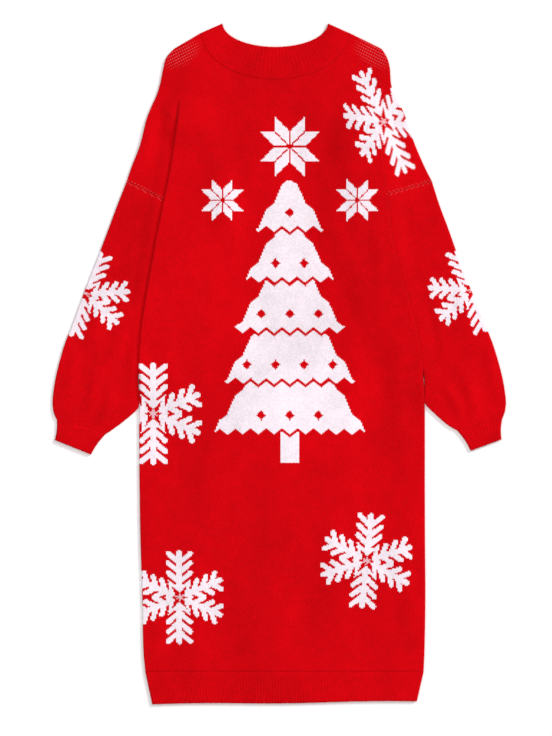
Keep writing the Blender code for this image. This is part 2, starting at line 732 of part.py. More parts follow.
def hem_edge(inner, outward, sense, flat):
    """Wall points of the hem's rolled edge, from the ribs outwards to the seam."""
    path = walk(edge_steps((PITCH - SEAM_GAP) / 2))
    headings = EDGE_HEADINGS + EDGE_HEADINGS[-1:]
    points = []
    for i, (out, fall) in enumerate(path[1:]):
        tilt, bend = (headings[i] + headings[i + 1]) / 2, (headings[i + 1] - headings[i]) / 2
        normal = Vector((*(outward * math.sin(tilt)), sense * math.cos(tilt)))
        half = normal * (WALL / 2 / math.cos(bend))
        middle = Vector((*(inner + outward * out), flat - sense * fall))
        points.append(WallPoint(middle + half, middle - half))
    return points


def hem_section(height_share, columns, layer):
    """A row of the hem from left edge to right edge: the rolled edges and the ribs between them."""
    ends = []
    for side in SIDES:
        upper, lower = hem_corners(side)
        ends.append(upper + (lower - upper) * height_share)
    along = (ends[1] - ends[0]).normalized()
    reach = edge_reach((PITCH - SEAM_GAP) / 2)
    first, last = ends[0] + along * reach, ends[1] - along * reach
    sense = 1 if layer == "front" else -1
    flat = FLOOR_MID + (PITCH if layer == "front" else 0.0)
    section = hem_edge(first, -along, sense, flat)[::-1]
    for i in range(columns + 1):
        raised = RIB_HEIGHT if layer == "front" and i % 2 else 0.0
        plan = first + (last - first) * i / columns
        section.append(wall_point(plan, flat, Vector((0, 0, sense)), raised))
    return section + hem_edge(last, along, sense, flat)


def hem_band(layer, collection):
    """Half of the ribbed hem. The front's ribs are raised, and the back lies flat on the floor."""
    width = HEM_CORNER["left"][0] + HEM_CORNER["right"][0]
    columns = 2 * round(width / RIB_PITCH) if layer == "front" else HEM_BACK_COLUMNS
    sections = [hem_section(share, columns, layer) for share in (0.0, 1.0)]
    count = len(sections[0])
    vertices = [p.outer for section in sections for p in section]
    start = len(vertices)
    vertices += [p.inner for section in sections for p in section]
    faces = []
    for i in range(count - 1):
        a, b, c, d = i, i + 1, count + i + 1, count + i
        faces.append([a, b, c, d])
        faces.append([start + k for k in (d, c, b, a)])
        faces.append([a, b, start + b, start + a])
        faces.append([c, d, start + d, start + c])
    for i in (0, count - 1):
        faces.append([i, count + i, start + count + i, start + i])
    name = "hem_rib_" + layer
    return new_object(name, mesh_from(name, vertices, faces), DEEP_RED, collection)


def centre_on_origin(objects):
    """Moves the meshes so that the garment's box is centred over the origin."""
    bpy.context.view_layer.update()
    graph = bpy.context.evaluated_depsgraph_get()
    corners = [corner for obj in objects for corner in obj.evaluated_get(graph).bound_box]
    low = Vector((min(c[0] for c in corners), min(c[1] for c in corners), 0.0))
    high = Vector((max(c[0] for c in corners), max(c[1] for c in corners), 0.0))
    for obj in objects:
        obj.data.transform(Matrix.Translation(-(low + high) / 2))


def main():
    for obj in list(bpy.data.objects):
        bpy.data.objects.remove(obj, do_unlink=True)
    garment = bpy.data.collections.new("sweater_dress")
    bpy.context.scene.collection.children.link(garment)
    pieces = [
        panel("front_panel", "front", RED, garment),
        panel("back_panel", "back", RED, garment),
        collar(garment),
        hem_band("front", garment),
        hem_band("back", garment),
    ]
    for side in SIDES:
        pieces.append(sleeve(side, garment))
        pieces.append(cuff(side, garment))
    centre_on_origin(pieces)


main()
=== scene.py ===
"""Dresses the laid-out sweater dress: fine knitted shells over its solids, and the studio."""

import math
from collections import namedtuple

import bmesh
import bpy
import numpy as np
from bpy.props import FloatProperty, FloatVectorProperty
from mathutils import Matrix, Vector


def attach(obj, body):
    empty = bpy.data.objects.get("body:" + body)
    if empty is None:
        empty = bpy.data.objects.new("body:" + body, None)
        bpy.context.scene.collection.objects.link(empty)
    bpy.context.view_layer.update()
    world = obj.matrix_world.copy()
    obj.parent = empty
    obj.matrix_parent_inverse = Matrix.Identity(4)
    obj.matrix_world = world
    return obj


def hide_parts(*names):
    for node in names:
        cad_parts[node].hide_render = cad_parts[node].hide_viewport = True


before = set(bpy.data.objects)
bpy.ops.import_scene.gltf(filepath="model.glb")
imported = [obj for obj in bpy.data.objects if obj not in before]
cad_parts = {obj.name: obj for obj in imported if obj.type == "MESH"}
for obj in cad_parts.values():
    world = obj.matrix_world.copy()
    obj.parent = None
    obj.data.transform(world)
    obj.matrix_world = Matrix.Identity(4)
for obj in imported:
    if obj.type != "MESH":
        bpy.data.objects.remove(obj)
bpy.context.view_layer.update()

bl_info = {
    "name": "Laid-out sweater dress",
    "version": (1, 0, 0),
    "blender": (4, 5, 0),
    "location": "3D View > Sidebar > Dress",
    "description": "Knitted shells, seams and studio for a sweater dress that lies flat",
    "category": "Object",
}

MM = 0.001

# Cloth and folds, as in the solids
WALL = 2.2 * MM
PITCH = 2.8 * MM
SEAM_GAP = 0.3 * MM
FLOOR_MID = WALL / 2  # height of the middle of the cloth that lies on the floor
FRONT_MID = FLOOR_MID + PITCH
SEAM_DROP = (PITCH - SEAM_GAP) / 2  # how far each layer rolls in where front and back are sewn
RIB_PITCH = 4.4 * MM
COLLAR_RIBS = 48
COLLAR_KNIT = 34.0  # the neckband's height in stitches, in millimetres
PLEAT_CLOSES = 90 * MM
SLOPE_WIDTH = 26 * MM
BODY_SLOPE_WIDTH = 58 * MM
BURIED_EASE = 8 * MM  # the body's slope starts this much further in, for a soft corner
EVENED_OVER = 22 * MM  # the slope's start is evened out over this height
OVERHANG = 2 * MM
SMALLEST_FLAP = 0.6 * MM
FLAP_LIFT = 1.0 * MM
FOLD_AXIS_LENGTH = 4 * MM
TURNED_UP_TO = 20  # degrees from straight down round the fold's start
TURN_FADES = 115
CREASE_STEP = 2 * MM
NECK_STEP = 1.2 * MM
MERGE_WITHIN = 0.005 * MM
HEM_TOP = 49.3 * MM
HEM_WAVE = 0.9 * MM  # how unevenly the lower edge lies
HEM_RIB_SHARE = 0.7  # the front hem's ribs are lower than the others
POCKET_END = 505 * MM
BODY_SETTLES = 436 * MM
HEM_CORNER = {"left": (199.7 * MM, 0.0), "right": (207.6 * MM, 4.6 * MM)}
NECK_CENTRE = Vector((-10.5 * MM, 1048.0 * MM))
NECK_HALF_WIDTH = 80.9 * MM
NECK_DEPTH = 36.5 * MM
COLLAR_SEAM_CENTRE = Vector((-10.7 * MM, 1033.3 * MM))
COLLAR_SEAM_HALF_WIDTH = 114.0 * MM
COLLAR_SEAM_DEPTH = 72.0 * MM
CENTRE = Vector((-4.3 * MM, 525.2 * MM))  # the frame's origin, from the centre line and the hem
SLEEVE_PUFF = 2.2 * MM
CUFF_WAIST = 1.5 * MM
RIDGE_BOW = 0.04  # how far a ridge bows, as a share of its length

# How finely the shells are made
ARC_STEPS = 8
EDGE_STEPS = 4
NECK_COLUMNS = 44
MID_COLUMNS = 54
SHOULDER_COLUMNS = 18
PLEAT_COUNT = 50
PLEAT_CROWDING = 1.15  # rows lie a little closer together near the fold's start
POCKET_COUNT = 54
POCKET_SHARE = 0.985  # the pocket's last row stays just above the body's first one
BODY_COUNT = 108
TOP_COUNT = 18
SLEEVE_COLUMNS = 34
SLEEVE_STEPS = 9  # rings for each row of the sleeve's table
RIB_FACETS = 6
CUFF_STEPS = 14
COLLAR_STEPS = 16
HEM_STEPS = 12
COLLAR_FOLD = 2.7 * MM  # the neckband's fold stays this far inside the shoulder's line
SEWN_START = 0.006  # the sleeve's cloth starts this share of its first row below the armhole
SEWN_ROWS = 4  # rows over which the opened stitches of a sewn edge fade


def table(row, values):
    return [row(*value) for value in values]


# Distances from the body's centre line, in millimetres, at heights above the hem
EdgeRow = namedtuple("EdgeRow", "height left right")
SHOULDER_EDGE = table(EdgeRow, [
    (804.6, 239, 230.8), (825.4, 231.8, 220.2), (862.4, 217.9, 204.1), (899.4, 208.7, 191.7),
    (917.8, 201.7, 184), (936.3, 193.3, 173.2), (954.8, 187.6, 167.9), (979.5, 182.5, 166),
    (994.8, 178, 161.7), (1008.7, 166.3, 153.4),
])
BODY_EDGE = table(EdgeRow, [
    (49.3, 210.2, 217.9), (83.2, 213.3, 219.4), (160.2, 214.8, 220.7), (252.6, 217.8, 220.2),
    (346.5, 219.3, 219.9), (437.4, 219.9, 219.9), (474.3, 220.2, 219.2), (517.4, 220.2, 216.4),
    (569.8, 217.4, 209), (611.4, 211.9, 198.7), (651.4, 205.1, 186), (705.3, 195.7, 172.9),
    (768.5, 183.4, 163.6), (820.8, 172.5, 157.5), (885.5, 162.8, 149.8), (945.6, 155.5, 147),
])
SidePlaces = namedtuple("SidePlaces", "sign apex underarm crease_top")
SIDES = {
    "left": SidePlaces(-1, (155.5 * MM, 945.6 * MM), (104.7 * MM, 739.2 * MM), 138 * MM),
    "right": SidePlaces(1, (147.0 * MM, 942.0 * MM), (92.0 * MM, 765.0 * MM), 120 * MM),
}
SleeveRow = namedtuple("SleeveRow", "outer_out outer_up inner_out inner_up lift puff")
SLEEVE_ROWS = {
    "left": table(SleeveRow, [
        (239, 804.6, 107.7, 739.2, 1, 0), (252.6, 770, 126.5, 700, 1, 0),
        (266.4, 733, 145.7, 660, 1, 0), (280.3, 696.1, 162.9, 624, 1, 0.2),
        (294.9, 659.1, 178.3, 592, 1, 0.4), (308.8, 622.2, 193, 562, 1, 0.6),
        (324.5, 580, 208.7, 531, 1, 0.8), (336.5, 548, 222.6, 512, 1, 1),
        (348, 504, 223, 480, 0.3, 1), (353, 470, 223, 458, 0, 1),
        (352, 452, 245, 437, 0, 0.8), (349, 443, 262, 424.5, 0, 0.4),
        (346.5, 438.9, 271.7, 415.8, 0, 0),
    ]),
    "right": table(SleeveRow, [
        (230.8, 804.6, 95, 765, 1, 0), (241.8, 770, 114, 725, 1, 0),
        (255.6, 733, 133, 685, 1, 0), (268.7, 696.1, 149.6, 650, 1, 0.2),
        (282.6, 659.1, 166.3, 615, 1, 0.4), (297.2, 622.2, 182.9, 580, 1, 0.6),
        (315.5, 578, 203.5, 537, 1, 0.8), (327, 547, 219.4, 512, 1, 1),
        (339, 504, 221.6, 482, 0.3, 1), (344.5, 470, 222.2, 464, 0, 1),
        (344, 455, 238.7, 446.6, 0, 0.8), (342, 447, 255.6, 432, 0, 0.4),
        (338.8, 438.9, 270, 421.2, 0, 0),
    ]),
}
ELBOW_ROW = 8  # the sleeve is about straight down to this row
CuffRow = namedtuple("CuffRow", "outer_out outer_up inner_out inner_up")
CUFF_ROWS = {
    "left": [CuffRow(346.5, 438.9, 271.7, 415.8), CuffRow(349.6, 406.6, 294.1, 384.2)],
    "right": [CuffRow(338.8, 438.9, 270, 421.2), CuffRow(337.9, 407.6, 290.3, 390.1)],
}

# Soft ridges that all the layers share, in millimetres from the centre line and above the hem
Ridge = namedtuple("Ridge", "x0 y0 x1 y1 width height")
RIDGES = table(Ridge, [
    (-96, 820, -70, 640, 16, 1.5), (-40, 905, -52, 780, 18, 0.9), (96, 880, 112, 690, 15, 1.5),
    (140, 760, 150, 600, 12, 1.6), (60, 935, 48, 820, 20, 0.8), (-178, 560, -150, 380, 15, 1.2),
    (170, 520, 185, 330, 14, 1.5), (-120, 420, -112, 250, 20, 1.1), (60, 330, 78, 130, 18, 1.3),
    (180, 250, 196, 90, 14, 1.4), (-60, 210, -66, 80, 22, 0.9), (-190, 150, -197, 60, 10, 1.3),
    (20, 480, 12, 330, 24, 0.8), (-262, 690, -300, 560, 12, 1.2), (-232, 640, -262, 520, 11, 1.3),
    (-318, 560, -335, 470, 10, 1.3), (-285, 520, -302, 440, 9, 1.6),
    (-258, 490, -282, 432, 8, 1.5), (256, 680, 292, 545, 12, 1.2), (226, 640, 252, 520, 11, 1.4),
    (312, 560, 330, 465, 10, 1.4), (276, 520, 296, 440, 9, 1.7), (250, 495, 276, 437, 8, 1.5),
    (-205, 900, -222, 810, 10, 1), (184, 890, 206, 800, 10, 1.1),
])

# Snow crystals in the cloth's own coordinates: millimetres from the centre line, above the hem
Crystal = namedtuple("Crystal", "across along radius tilt stretch")
BODY_CRYSTALS = [
    Crystal(-198, 447, 79, 0, 1),
    Crystal(-158, 164.5, 72.5, 0, 1),
    Crystal(130.2, 220.5, 74, -5.7, 1),
    Crystal(156, 896, 58, 24, 1.5),
]
SLEEVE_CRYSTALS = {
    "left": Crystal(-301.8, 631.4, 69, 0, 1),
    "right": Crystal(291.5, 637, 68, 0, 1),
}
# A crystal of radius 1: its low arms and the sector they take, in degrees, and its parts
LOW_ARM = 23.0
ARM_SECTOR = 56.0
ARM_END = 0.94
SPINE_HALF = 0.056
CORE_RADIUS = 0.27
BARB_START = 0.73
BARB_SPACING = 0.205
BARB_SLANT = 0.87
BARB_LENGTH = 0.25
BARB_HALF = 0.051
LAST_BARB = 0.82
UPRIGHT_EXTRA = 0.06  # how much longer the barbs of the upright arms are
PETAL_GAP = 0.04  # half the red line between two petals of a star of radius 1

# The front's design, drawn by rule: a fir tree of even tiers under an eight-pointed star, with a
# small star on each side, in millimetres from the centre line and above the hem
DESIGN_MIDDLE = 12.0
FIR_FOOT = 372.0
FIR_TOP = 805.0
TIER_COUNT = 5
TIER_HEIGHT = 78.0
TIER_START = 2.0  # half the first tier's width at its top
TIER_GROWTH = 16.0
TIER_FLARE = 50.0
TIER_GAP = 0.07  # the red line above a tier, as a share of its height
BOUGH_WIDTH = 12.0  # half the width of one tooth of a tier's lower edge
BOUGH_SLANT = 0.8
TRUNK_HALF = 14.0
BAUBLE_SPACING = 22.0
BAUBLE_SIZE = 7.5
BAUBLE_LEVEL = 0.62
Star = namedtuple("Star", "across along radius")
STARS = [
    Star(DESIGN_MIDDLE, 858, 46),
    Star(DESIGN_MIDDLE - 104, 775, 32),
    Star(DESIGN_MIDDLE + 104, 775, 32),
]

# Where stretched stitches show their white floats: millimetres, and degrees
Stretch = namedtuple("Stretch", "across along half_length half_width turn")
STRETCHES = [Stretch(-157, 1000, 36, 19, 28), Stretch(142, 1001, 36, 20, -30)]
LATTICE_ROW = 4.8 * MM
LATTICE_STEP = 3.4 * MM
DOT_SQUARE = 0.72  # the square of a dot's radius in millimetres
STITCH_SLANT = 0.75  # how far the two legs of a stitch rise, in stitches
STITCH_MIDDLE = 0.88  # height of a stitch's middle above its row's lowest point, in stitches

# The stage
FLOOR_SIZE = 12.0
FLOOR_LEVEL = -0.4 * MM
CAMERA_MIDDLE = (-4.9 * MM, -7.8 * MM)
SENSOR = 36.0
VIEW_HEIGHT = 736 * 1.54 * MM


def smooth(share):
    """0 to 1 with level ends."""
    share = min(max(share, 0.0), 1.0)
    return share * share * (3 - 2 * share)


def curve(t, start, end, start_slope, end_slope):
    """A value on a smooth curve, t of the way from its start to its end."""
    t2, t3 = t * t, t * t * t
    return (
        (2 * t3 - 3 * t2 + 1) * start
        + (t3 - 2 * t2 + t) * start_slope
        + (3 * t2 - 2 * t3) * end
        + (t3 - t2) * end_slope
    )


def read_table(rows, column, height):
    """The column's value at a height, on a smooth curve through the rows, in metres."""
    points = [(row.height * MM, getattr(row, column) * MM) for row in rows]
    last = len(points) - 1
    i = min(max(sum(h <= height for h, _ in points) - 1, 0), last - 1)

    def slope(k):
        (low, before), (high, after) = points[max(k - 1, 0)], points[min(k + 1, last)]
        return (after - before) / (high - low)

    (low, start), (high, end) = points[i : i + 2]
    span = high - low
    return curve((height - low) / span, start, end, span * slope(i), span * slope(i + 1))


def place(side, out, up):
    """A point in plan, from its distances out from the centre line and up from the hem."""
    return Vector((SIDES[side].sign * out, up))


def outwards(side):
    return Vector((SIDES[side].sign, 0.0))


def fold_ends(side):
    """The upper and the lower end of the hidden crease: the fold's start and the underarm."""
    return place(side, *SIDES[side].apex), place(side, *SIDES[side].underarm)


def crease_at(side, height):
    return place(side, read_table(BODY_EDGE, side, height), height)


def crease_after(side, length):
    """The point of the body's crease this far along it from the fold's start."""
    height = SIDES[side].apex[1]
    point = crease_at(side, height)
    while length > CREASE_STEP:
        height -= CREASE_STEP
        following = crease_at(side, height)
        length -= (following - point).length
        point = following
    return crease_at(side, height - max(length, 0.0))


def past_crease(side, point):
    return SIDES[side].sign * point.x - read_table(BODY_EDGE, side, point.y)


def hidden_length(side, start, along, whole):
    """How much of a line lies under the body."""
    hidden = 0.0
    while hidden < whole and past_crease(side, start + along * hidden) < 0:
        hidden += MM
    return hidden


def stack_height(past, rise):
    """What is left of the folded stack's rise this far past the body's crease."""
    return rise * (1 - smooth((past - OVERHANG) / SLOPE_WIDTH))


def ellipse(centre, half_width, depth, angle):
    return centre + Vector((half_width * math.cos(angle), -depth * math.sin(angle)))


def collar_seam(angle):
    return ellipse(COLLAR_SEAM_CENTRE, COLLAR_SEAM_HALF_WIDTH, COLLAR_SEAM_DEPTH, angle)


def neck_edge(angle):
    return ellipse(NECK_CENTRE, NECK_HALF_WIDTH, NECK_DEPTH, angle)


def walk(steps):
    """The points (out, down) of a path of steps (length, heading)."""
    points = [(0.0, 0.0)]
    for length, heading in steps:
        out, down = points[-1]
        points.append((out + length * math.cos(heading), down + length * math.sin(heading)))
    return points


def arc_headings(turn):
    return [turn * (i + 0.5) / ARC_STEPS for i in range(ARC_STEPS)]


ARC_STEP = PITCH / sum(math.sin(heading) for heading in arc_headings(math.pi))
ARC = [(ARC_STEP, heading) for heading in arc_headings(math.pi)]
ARC_REACH = max(out for out, _ in walk(ARC)) + WALL / 2
EDGE_HEADINGS = [math.pi / 2 * (i + 1) / EDGE_STEPS for i in range(EDGE_STEPS)]
EDGE_DROP = sum(math.sin(heading) for heading in EDGE_HEADINGS)


def edge_steps(drop):
    """Steps of a quarter turn down a drop."""
    return [(drop / EDGE_DROP, heading) for heading in EDGE_HEADINGS]


def edge_reach(drop):
    return walk(edge_steps(drop))[-1][0] + WALL / 2


# A spot of a panel: its place in plan, its height on the front and the back, and its place in the
# cloth before it was folded
Spot = namedtuple("Spot", "plan front back cloth")


def fan_out(start, along, steps, front_top, back_low, cloth_end=None):
    """Spots of a walked path: down from the front's height, up from the back's."""
    whole = sum(length for length, _ in steps)
    spots, done = [], 0.0
    for (out, down), (length, _) in zip(walk(steps), [*steps, (0.0, 0.0)]):
        cloth = start + along * done
        if cloth_end is not None:
            cloth = start + (cloth_end - start) * (done / whole)
        spots.append(Spot(start + along * out, front_top - down, back_low + down, cloth))
        done += length
    return spots


def fold_angle(side):
    """The angle, at the fold's start, between the crease that shows and the hidden one."""
    apex, underarm = fold_ends(side)
    crease = crease_after(side, (underarm - apex).length)
    return abs((crease - apex).angle(underarm - apex))


def shoulder_cloth(side, plan):
    """Where a point of the dropped shoulder lies in the unfolded cloth. Beside and under the
    fold's start it is turned by twice the fold's angle, and above it not at all."""
    sign = SIDES[side].sign
    away = plan - fold_ends(side)[0]
    if away.length < MM:
        return plan.copy()
    below = math.atan2(sign * away.x, -away.y)  # 0 straight down, a half turn straight up
    share = 1 - smooth((math.degrees(below) - TURNED_UP_TO) / TURN_FADES)
    turn = -sign * 2 * fold_angle(side) * share
    sin, cos = math.sin(turn), math.cos(turn)
    return plan - away + Vector((away.x * cos - away.y * sin, away.x * sin + away.y * cos))


def shoulder_run(side, first, corner, rise):
    """Spots of the dropped shoulder, from the hidden crease out to the sewn edge."""
    along = (corner - first.plan).normalized()
    whole = (corner - along * edge_reach(SEAM_DROP) - first.plan).length
    hidden = hidden_length(side, first.plan, along, whole)
    spots = []
    for i in range(1, SHOULDER_COLUMNS + 1):
        reach = whole * i / SHOULDER_COLUMNS
        low = FLOOR_MID + stack_height(reach - hidden, rise)
        plan = first.plan + along * reach
        spots.append(Spot(plan, low + PITCH, low, shoulder_cloth(side, plan)))
    last = spots[-1]
    edge = fan_out(last.plan, along, edge_steps(SEAM_DROP), last.front, last.back)[1:]
    return spots + [spot._replace(cloth=shoulder_cloth(side, spot.cloth)) for spot in edge]


def pleat_row(side, share):
    """Spots from the body's crease outwards, at a share of the way from the fold's start to the
    underarm, the rise of the folded stack there, and the hidden crease."""
    apex, underarm = fold_ends(side)
    length = share * (underarm - apex).length
    inward = (underarm - apex).normalized()
    crease = crease_after(side, length)
    hidden_crease = apex + inward * length
    axis_length = max(length, FOLD_AXIS_LENGTH)
    along = (crease_after(side, axis_length) - apex - inward * axis_length).normalized()
    turn = math.pi * smooth(length / PLEAT_CLOSES)
    flap = (crease - hidden_crease).length - 2 * ARC_REACH
    if 0 < turn < math.pi:
        flap = min(flap, FLAP_LIFT / math.sin(turn))
    flap = max(flap, SMALLEST_FLAP)
    arc = [(ARC_STEP, heading) for heading in arc_headings(turn)]
    steps = arc + [(flap, turn)] + arc[::-1]
    reach, rise = walk(steps)[-1]
    flat_half = ARC_STEPS * ARC_STEP + flap / 2
    start = crease - along * (flat_half + (ARC_REACH - flat_half) * turn / math.pi)
    cloth_end = shoulder_cloth(side, start + along * reach)
    folded = fan_out(start, along, steps, FRONT_MID + 2 * rise, FLOOR_MID, cloth_end)
    top = SIDES[side].apex[1]
    height = top + (SHOULDER_EDGE[0].height * MM - top) * share
    outer = place(side, read_table(SHOULDER_EDGE, side, height), height)
    return folded + shoulder_run(side, folded[-1], outer, rise), rise, hidden_crease


def pocket_row(side, share):
    """The same for the pocket below the underarm, whose flap ends at the side seam."""
    apex, seam_top = fold_ends(side)
    start_height = crease_after(side, (seam_top - apex).length).y
    crease = crease_at(side, start_height + (POCKET_END - start_height) * share)
    along = outwards(side)
    seam_end = crease_at(side, POCKET_END) - along * ARC_REACH
    seam = seam_top + (seam_end - seam_top) * share
    flap = max(abs(crease.x - seam.x) - ARC_REACH, SMALLEST_FLAP)
    seam_drop = (3 * PITCH - SEAM_GAP) / 2
    back_turn = [(length, math.pi - heading) for length, heading in edge_steps(seam_drop)]
    steps = ARC + [(flap, math.pi)] + back_turn
    spots = fan_out(crease - along * ARC_REACH, along, steps, FLOOR_MID + 5 * PITCH, FLOOR_MID)
    return spots, 2 * PITCH, seam


def side_row(side, height):
    """The same for the plain body below the pocket."""
    settled = smooth((POCKET_END - height) / (POCKET_END - BODY_SETTLES))
    rise = 2 * PITCH * (1 - settled)
    front = FRONT_MID + 2 * rise
    along = outwards(side)
    drop = (front - FLOOR_MID - SEAM_GAP) / 2
    inner = crease_at(side, height) - along * edge_reach(drop)
    return fan_out(inner, along, edge_steps(drop), front, FLOOR_MID), rise, inner


def half_rows(side):
    """All rows of one half of a panel below the fold's start: (spots, rise, hidden place)."""
    rows = [pleat_row(side, (i / PLEAT_COUNT) ** PLEAT_CROWDING) for i in range(PLEAT_COUNT + 1)]
    rows += [pocket_row(side, (i + 1) / POCKET_COUNT * POCKET_SHARE) for i in range(POCKET_COUNT)]
    for i in range(BODY_COUNT + 1):
        rows.append(side_row(side, POCKET_END + (HEM_TOP - POCKET_END) * i / BODY_COUNT))
    return rows


def buried_widths(side, rows):
    """How much of each row lies on the folded stack, evened out down the rows."""
    sign = SIDES[side].sign
    raw = [max(sign * (spots[0].plan.x - end.x) + ARC_REACH, 0.0) for spots, _, end in rows]
    heights = [spots[0].plan.y for spots, _, _ in rows]
    even = []
    for here in heights:
        weights = [math.exp(-(((height - here) / EVENED_OVER) ** 2)) for height in heights]
        total = sum(weight * value for weight, value in zip(weights, raw))
        even.append(total / sum(weights) + BURIED_EASE)
    return even


def middle_run(centre, first, rise, buried):
    """Spots from the centre line out to a row's first folded spot."""
    whole = (first.plan - centre).length
    along = (first.plan - centre).normalized()
    slope_start = whole - buried - BODY_SLOPE_WIDTH
    spots = []
    for i in range(1, MID_COLUMNS):
        reach = whole * i / MID_COLUMNS
        climb = smooth((reach - slope_start) / BODY_SLOPE_WIDTH)
        plan = centre + along * reach
        spots.append(Spot(plan, FRONT_MID + 2 * rise * climb, FLOOR_MID, plan))
    return spots


def shoulder_corner(side):
    """The shoulder's outer corner, and steps from it along the shoulder and down its side."""
    rows = SHOULDER_EDGE[-1], SHOULDER_EDGE[-2]
    corner, below = [place(side, getattr(row, side) * MM, row.height * MM) for row in rows]
    notch = collar_seam(math.pi if side == "left" else 0.0)
    along, down = (corner - notch).normalized(), (below - corner).normalized()
    square = abs(along.cross(down))
    out_step, down_step = along / square, down / square
    return corner - out_step * edge_reach(SEAM_DROP), out_step, down_step


def shoulder_tops(side, lower):
    """Places of the topmost row, one above each spot of the fold's first row."""
    turn = math.pi / 2 if side == "left" else -math.pi / 2
    tops = []
    for i in range(1, NECK_COLUMNS + 1):
        tops.append(collar_seam(math.pi / 2 + turn * i / NECK_COLUMNS))
    notch, end = tops[-1], shoulder_corner(side)[0]
    crease_share = (SIDES[side].crease_top - abs(notch.x)) / (abs(end.x) - abs(notch.x))
    inner = MID_COLUMNS - 1 - NECK_COLUMNS
    shares = [crease_share * (i + 1) / (inner + 1) for i in range(inner)]
    rest = lower[MID_COLUMNS - 1 : -EDGE_STEPS]
    whole = (rest[-1].plan - rest[0].plan).length
    for spot in rest:
        share = (spot.plan - rest[0].plan).length / whole
        shares.append(crease_share + (1 - crease_share) * share)
    return tops + [notch + (end - notch) * share for share in shares]


def top_rows(side, centre_low, lower):
    """Rows from the shoulder seam down to the fold's first row: (centre spot, spots outwards)."""
    tops = shoulder_tops(side, lower)
    last, notch = len(tops) - 1, NECK_COLUMNS - 1
    centre_top = collar_seam(math.pi / 2)
    roll = walk(edge_steps(SEAM_DROP))
    inset = roll[-1][0] + WALL / 2
    seam_line = (tops[last] - tops[notch]).normalized()
    inward = Vector((seam_line.y, -seam_line.x)) * SIDES[side].sign
    out_step, down_step = shoulder_corner(side)[1:]
    outward = outwards(side)
    down_neck = Vector((0.0, -1.0)) / abs(seam_line.x)

    def shifted(i, amount, level):
        if i < notch:
            return tops[i] + (lower[i].plan - tops[i]).normalized() * (NECK_STEP * level)
        if i == notch:
            return tops[i] + down_neck * amount
        return tops[i] + (down_step if i == last else inward) * amount

    def spot(i, plan, fall):
        cloth = shoulder_cloth(side, plan) if i >= MID_COLUMNS + ARC_STEPS else plan
        return Spot(plan, FRONT_MID - fall, FLOOR_MID + fall, cloth)

    rows = []
    to_centre = (centre_low - centre_top).normalized() * NECK_STEP
    for level in range(EDGE_STEPS):
        out, down = roll[EDGE_STEPS - level]
        row = []
        for i in range(len(tops)):
            row.append(spot(i, shifted(i, inset - out, level), down if i > notch else 0.0))
        for side_out, side_down in roll[1:]:
            plan = row[last].plan + out_step * side_out
            row.append(spot(len(tops), plan, max(down, side_down)))
        rows.append((spot(0, centre_top + to_centre * level, 0.0), row))
    for step in range(TOP_COUNT):
        share = step / TOP_COUNT
        row = []
        for i in range(len(tops)):
            begin = shifted(i, inset, EDGE_STEPS)
            plan = begin + (lower[i].plan - begin) * share
            if i == last and step:
                plan = place(side, read_table(SHOULDER_EDGE, side, plan.y), plan.y)
                plan -= outward * inset
            row.append(spot(i, plan, 0.0))
        for side_out, side_down in roll[1:]:
            plan = row[last].plan + (outward if step else out_step) * side_out
            row.append(spot(len(tops), plan, side_down))
        begin = centre_top + to_centre * EDGE_STEPS
        rows.append((spot(0, begin + (centre_low - begin) * share, 0.0), row))
    return rows


def panel_rows():
    """Rows of a whole panel as (centre spot, left spots, right spots)."""
    halves = [half_rows(side) for side in SIDES]
    buried = [buried_widths(side, half) for side, half in zip(SIDES, halves)]
    rows = []
    for pair, widths in zip(zip(*halves), zip(*buried)):
        centre = Vector((0.0, sum(spots[0].plan.y for spots, _, _ in pair) / 2))
        row = [Spot(centre, FRONT_MID, FLOOR_MID, centre)]
        for (spots, rise, _), width in zip(pair, widths):
            row.append(middle_run(centre, spots[0], rise, width) + spots)
        rows.append(row)
    first = rows[0]
    tops = [top_rows(side, first[0].plan, first[i + 1]) for i, side in enumerate(SIDES)]
    return [(left[0], left[1], right[1]) for left, right in zip(*tops)] + rows


def ridge_lift(points):
    """How far the soft ridges lift the cloth at places in plan, in metres."""
    lift = np.zeros(len(points))
    for ridge in RIDGES:
        start = np.array((ridge.x0, ridge.y0)) * MM
        run = np.array((ridge.x1, ridge.y1)) * MM - start
        share = ((points - start) @ run) / (run @ run)
        inside = np.clip(share, 0, 1)
        bow = RIDGE_BOW * np.sin(np.pi * inside)[:, None] * np.array((-run[1], run[0]))
        off = np.linalg.norm(points - start - inside[:, None] * run - bow, axis=1)
        over = np.abs(share - inside) * np.linalg.norm(run) / (ridge.width * 2 * MM)
        along = np.sin(np.pi * np.clip(share * 0.86 + 0.07, 0, 1)) * np.exp(-(over**2))
        lift += ridge.height * MM * along * np.exp(-((off / (ridge.width * MM)) ** 2))
    return lift


